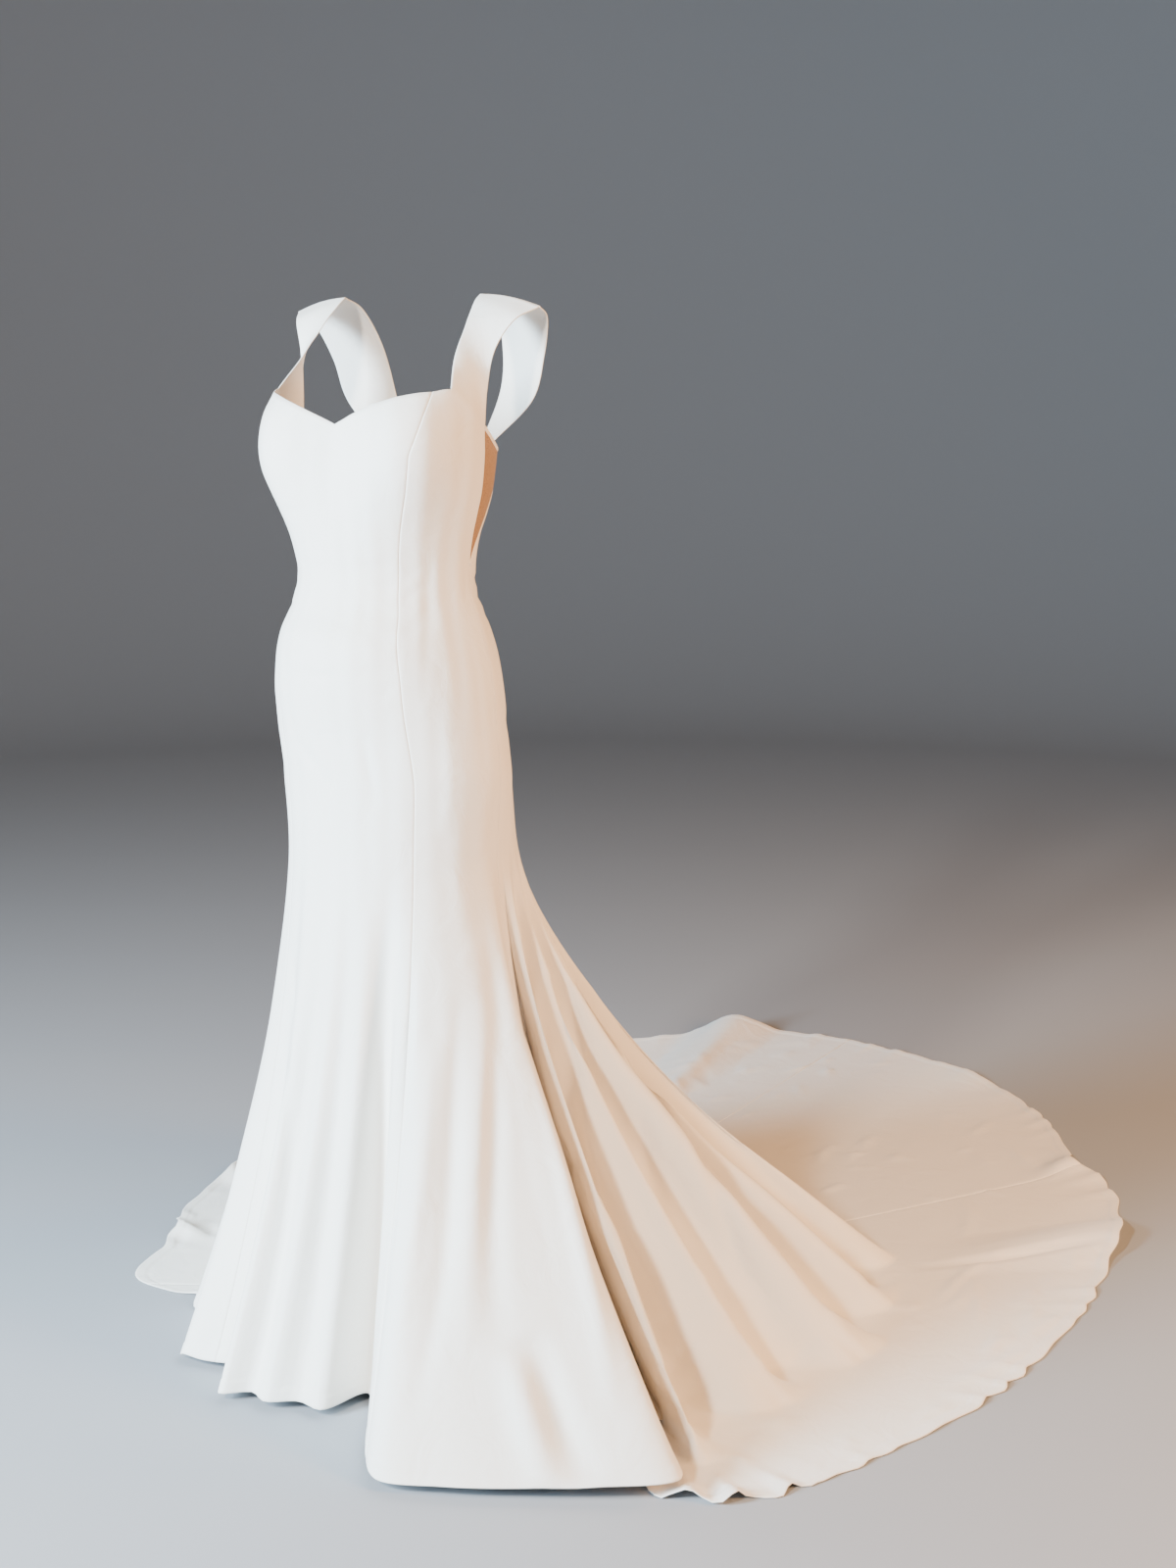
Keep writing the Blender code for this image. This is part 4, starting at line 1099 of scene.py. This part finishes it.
def loop_shape(radius, thread, steps=14, sides=6):
    """A thread loop that comes from the edge, round the button's stem and back."""
    across, along = LOOP_ENDS
    spread = radius * LOOP_SPREAD
    path = [(across * radius, -along * radius)]
    for turn in np.linspace(-LOOP_TURN, LOOP_TURN, steps):
        path.append((spread * math.cos(turn), spread * math.sin(turn)))
    path += [(across * radius, along * radius)]
    path = np.array([(x, y, thread * LOOP_LIFT) for x, y in path])
    along = unit(np.gradient(path, axis=0))
    up = np.array((0.0, 0.0, 1.0))
    side = unit(np.cross(along, up))
    vertices = []
    for point, way in zip(path, side):
        for turn in np.linspace(0, 2 * np.pi, sides, endpoint=False):
            vertices.append(point + (way * math.cos(turn) + up * math.sin(turn)) * thread / 2)
    faces = [tuple(range(sides))] + tube_faces(len(path), sides, (1, 0, 3, 2))
    faces.append(tuple(range(len(vertices) - sides, len(vertices)))[::-1])
    return np.array(vertices), faces


# ---- the studio ----
CAMERA_PLACE = (1.917, -2.408, -0.1125)
CAMERA_TURN = (79.673, 0.0, 34.0)  # degrees
CAMERA_LENS = 50.6
SENSOR_WIDTH = 36.0
FLOOR_CENTRE = (0.0, 0.3)
FLOOR_RINGS = (1.5, 3.0, 5.0)  # sizes of the flat rings, up to where the sweep begins
SWEEP = 3.0
SWEEP_STEPS = 16
BACKDROP_HEIGHT = 7.0
FLOOR_SIDES = 96
FLOOR_ROUGHNESS = 0.85
FLOOR_COLOUR = (0.30, 0.32, 0.35)
WORLD_COLOUR = (1.0, 0.70, 0.42)
WORLD_STRENGTH = 0.09
# name, place, target, size, power, colour
LIGHTS = (
    ("window_left", (-1.2, -2.8, -0.1), (0.15, 0.0, -0.8), (0.7, 1.5), 510.0, (0.66, 0.85, 1.00)),
    ("high_front", (0.3, -3.0, 1.0), (0.5, 0.5, -1.2), (0.3, 0.3), 150.0, (1.00, 0.92, 0.82)),
    ("warm_right", (2.8, 0.2, 0.0), (0.2, 0.3, -0.8), (0.6, 1.0), 120.0, (1.00, 0.56, 0.26)),
    ("warm_back", (2.4, 2.4, 0.4), (0.5, 0.8, -1.4), (0.9, 0.9), 70.0, (1.00, 0.50, 0.20)),
)


def area_light(name, place, target, size, power, colour):
    """A soft square light that faces a target."""
    light = bpy.data.lights.new(name, "AREA")
    light.shape = "RECTANGLE"
    light.size, light.size_y = size
    light.energy = power
    light.color = colour
    lamp = add_object(name, light)
    way = np.array(target) - np.array(place)
    lamp.location = place
    lamp.rotation_euler = (
        math.atan2(math.hypot(way[0], way[1]), -way[2]),
        0.0,
        math.atan2(way[1], way[0]) - math.pi / 2,
    )


def studio():
    """A pale floor that sweeps up into a round backdrop, soft lights and the camera."""
    profile = [(size, 0.0) for size in FLOOR_RINGS]
    profile += [(FLOOR_RINGS[-1] + SWEEP * math.sin(turn), SWEEP * (1 - math.cos(turn)))
                for turn in np.linspace(0, math.pi / 2, SWEEP_STEPS)[1:]]
    profile.append((FLOOR_RINGS[-1] + SWEEP, BACKDROP_HEIGHT))
    turns = [2 * math.pi * side / FLOOR_SIDES for side in range(FLOOR_SIDES)]
    vertices = spun(profile, turns) + [(0.0, 0.0, 0.0)]
    faces = [(len(vertices) - 1, side, (side + 1) % FLOOR_SIDES) for side in range(FLOOR_SIDES)]
    faces += tube_faces(len(profile), FLOOR_SIDES, (0, 3, 2, 1))
    floor_mesh = bpy.data.meshes.new("studio_floor")
    floor_mesh.from_pydata(vertices, [], faces)
    floor_mesh.shade_smooth()
    floor = add_object("studio_floor", floor_mesh)
    floor.location = (*FLOOR_CENTRE, -SHOULDER[2])
    pale, _ = new_material("studio_floor", Base_Color=(*FLOOR_COLOUR, 1.0), Roughness=FLOOR_ROUGHNESS)
    floor_mesh.materials.append(pale)
    world = bpy.data.worlds.new("studio")
    world.use_nodes = True
    set_inputs(world.node_tree.nodes["Background"], Color=(*WORLD_COLOUR, 1.0), Strength=WORLD_STRENGTH)
    bpy.context.scene.world = world
    for row in LIGHTS:
        area_light(*row)
    camera_data = bpy.data.cameras.new("camera")
    camera_data.lens = CAMERA_LENS
    camera_data.sensor_width = SENSOR_WIDTH
    camera_data.sensor_fit = "AUTO"
    camera = add_object("camera", camera_data)
    camera.location = CAMERA_PLACE
    camera.rotation_euler = [math.radians(turn) for turn in CAMERA_TURN]
    bpy.context.scene.camera = camera


studio()
SHAPE = Skirt(SKIRT)
CREASES = crease_paths()
ivory = crepe("ivory_crepe", (0.86, 0.83, 0.78), (0.83, 0.79, 0.73))
nude = net("nude_mesh", (0.30, 0.165, 0.07))
trim = satin("ivory_satin", (0.86, 0.82, 0.75))

panel("front_centre", [-1.0, 0.0, 1.0], front_column, ivory)
for side, letter in ((1, "L"), (-1, "R")):
    node = f"side_front_{letter}"
    bounds = marks(side, 1.0, STRAP_START, 2.0)
    panel(node, bounds, front_column, ivory, with_front_strap(side))
    node = f"side_back_{letter}"
    panel(node, marks(side, 2.0, 3.0), side_back_column, ivory)
    node = f"back_{letter}"
    panel(node, marks(side, 3.0, 3.9, 4.0), back_column, ivory)
    node = f"back_strap_{letter}"
    back_strap(node, side, ivory)
    node = f"sheer_side_{letter}"
    sheer_panel(node, side, nude)
    sheer_bindings(node, side, trim)
closing_row(trim)
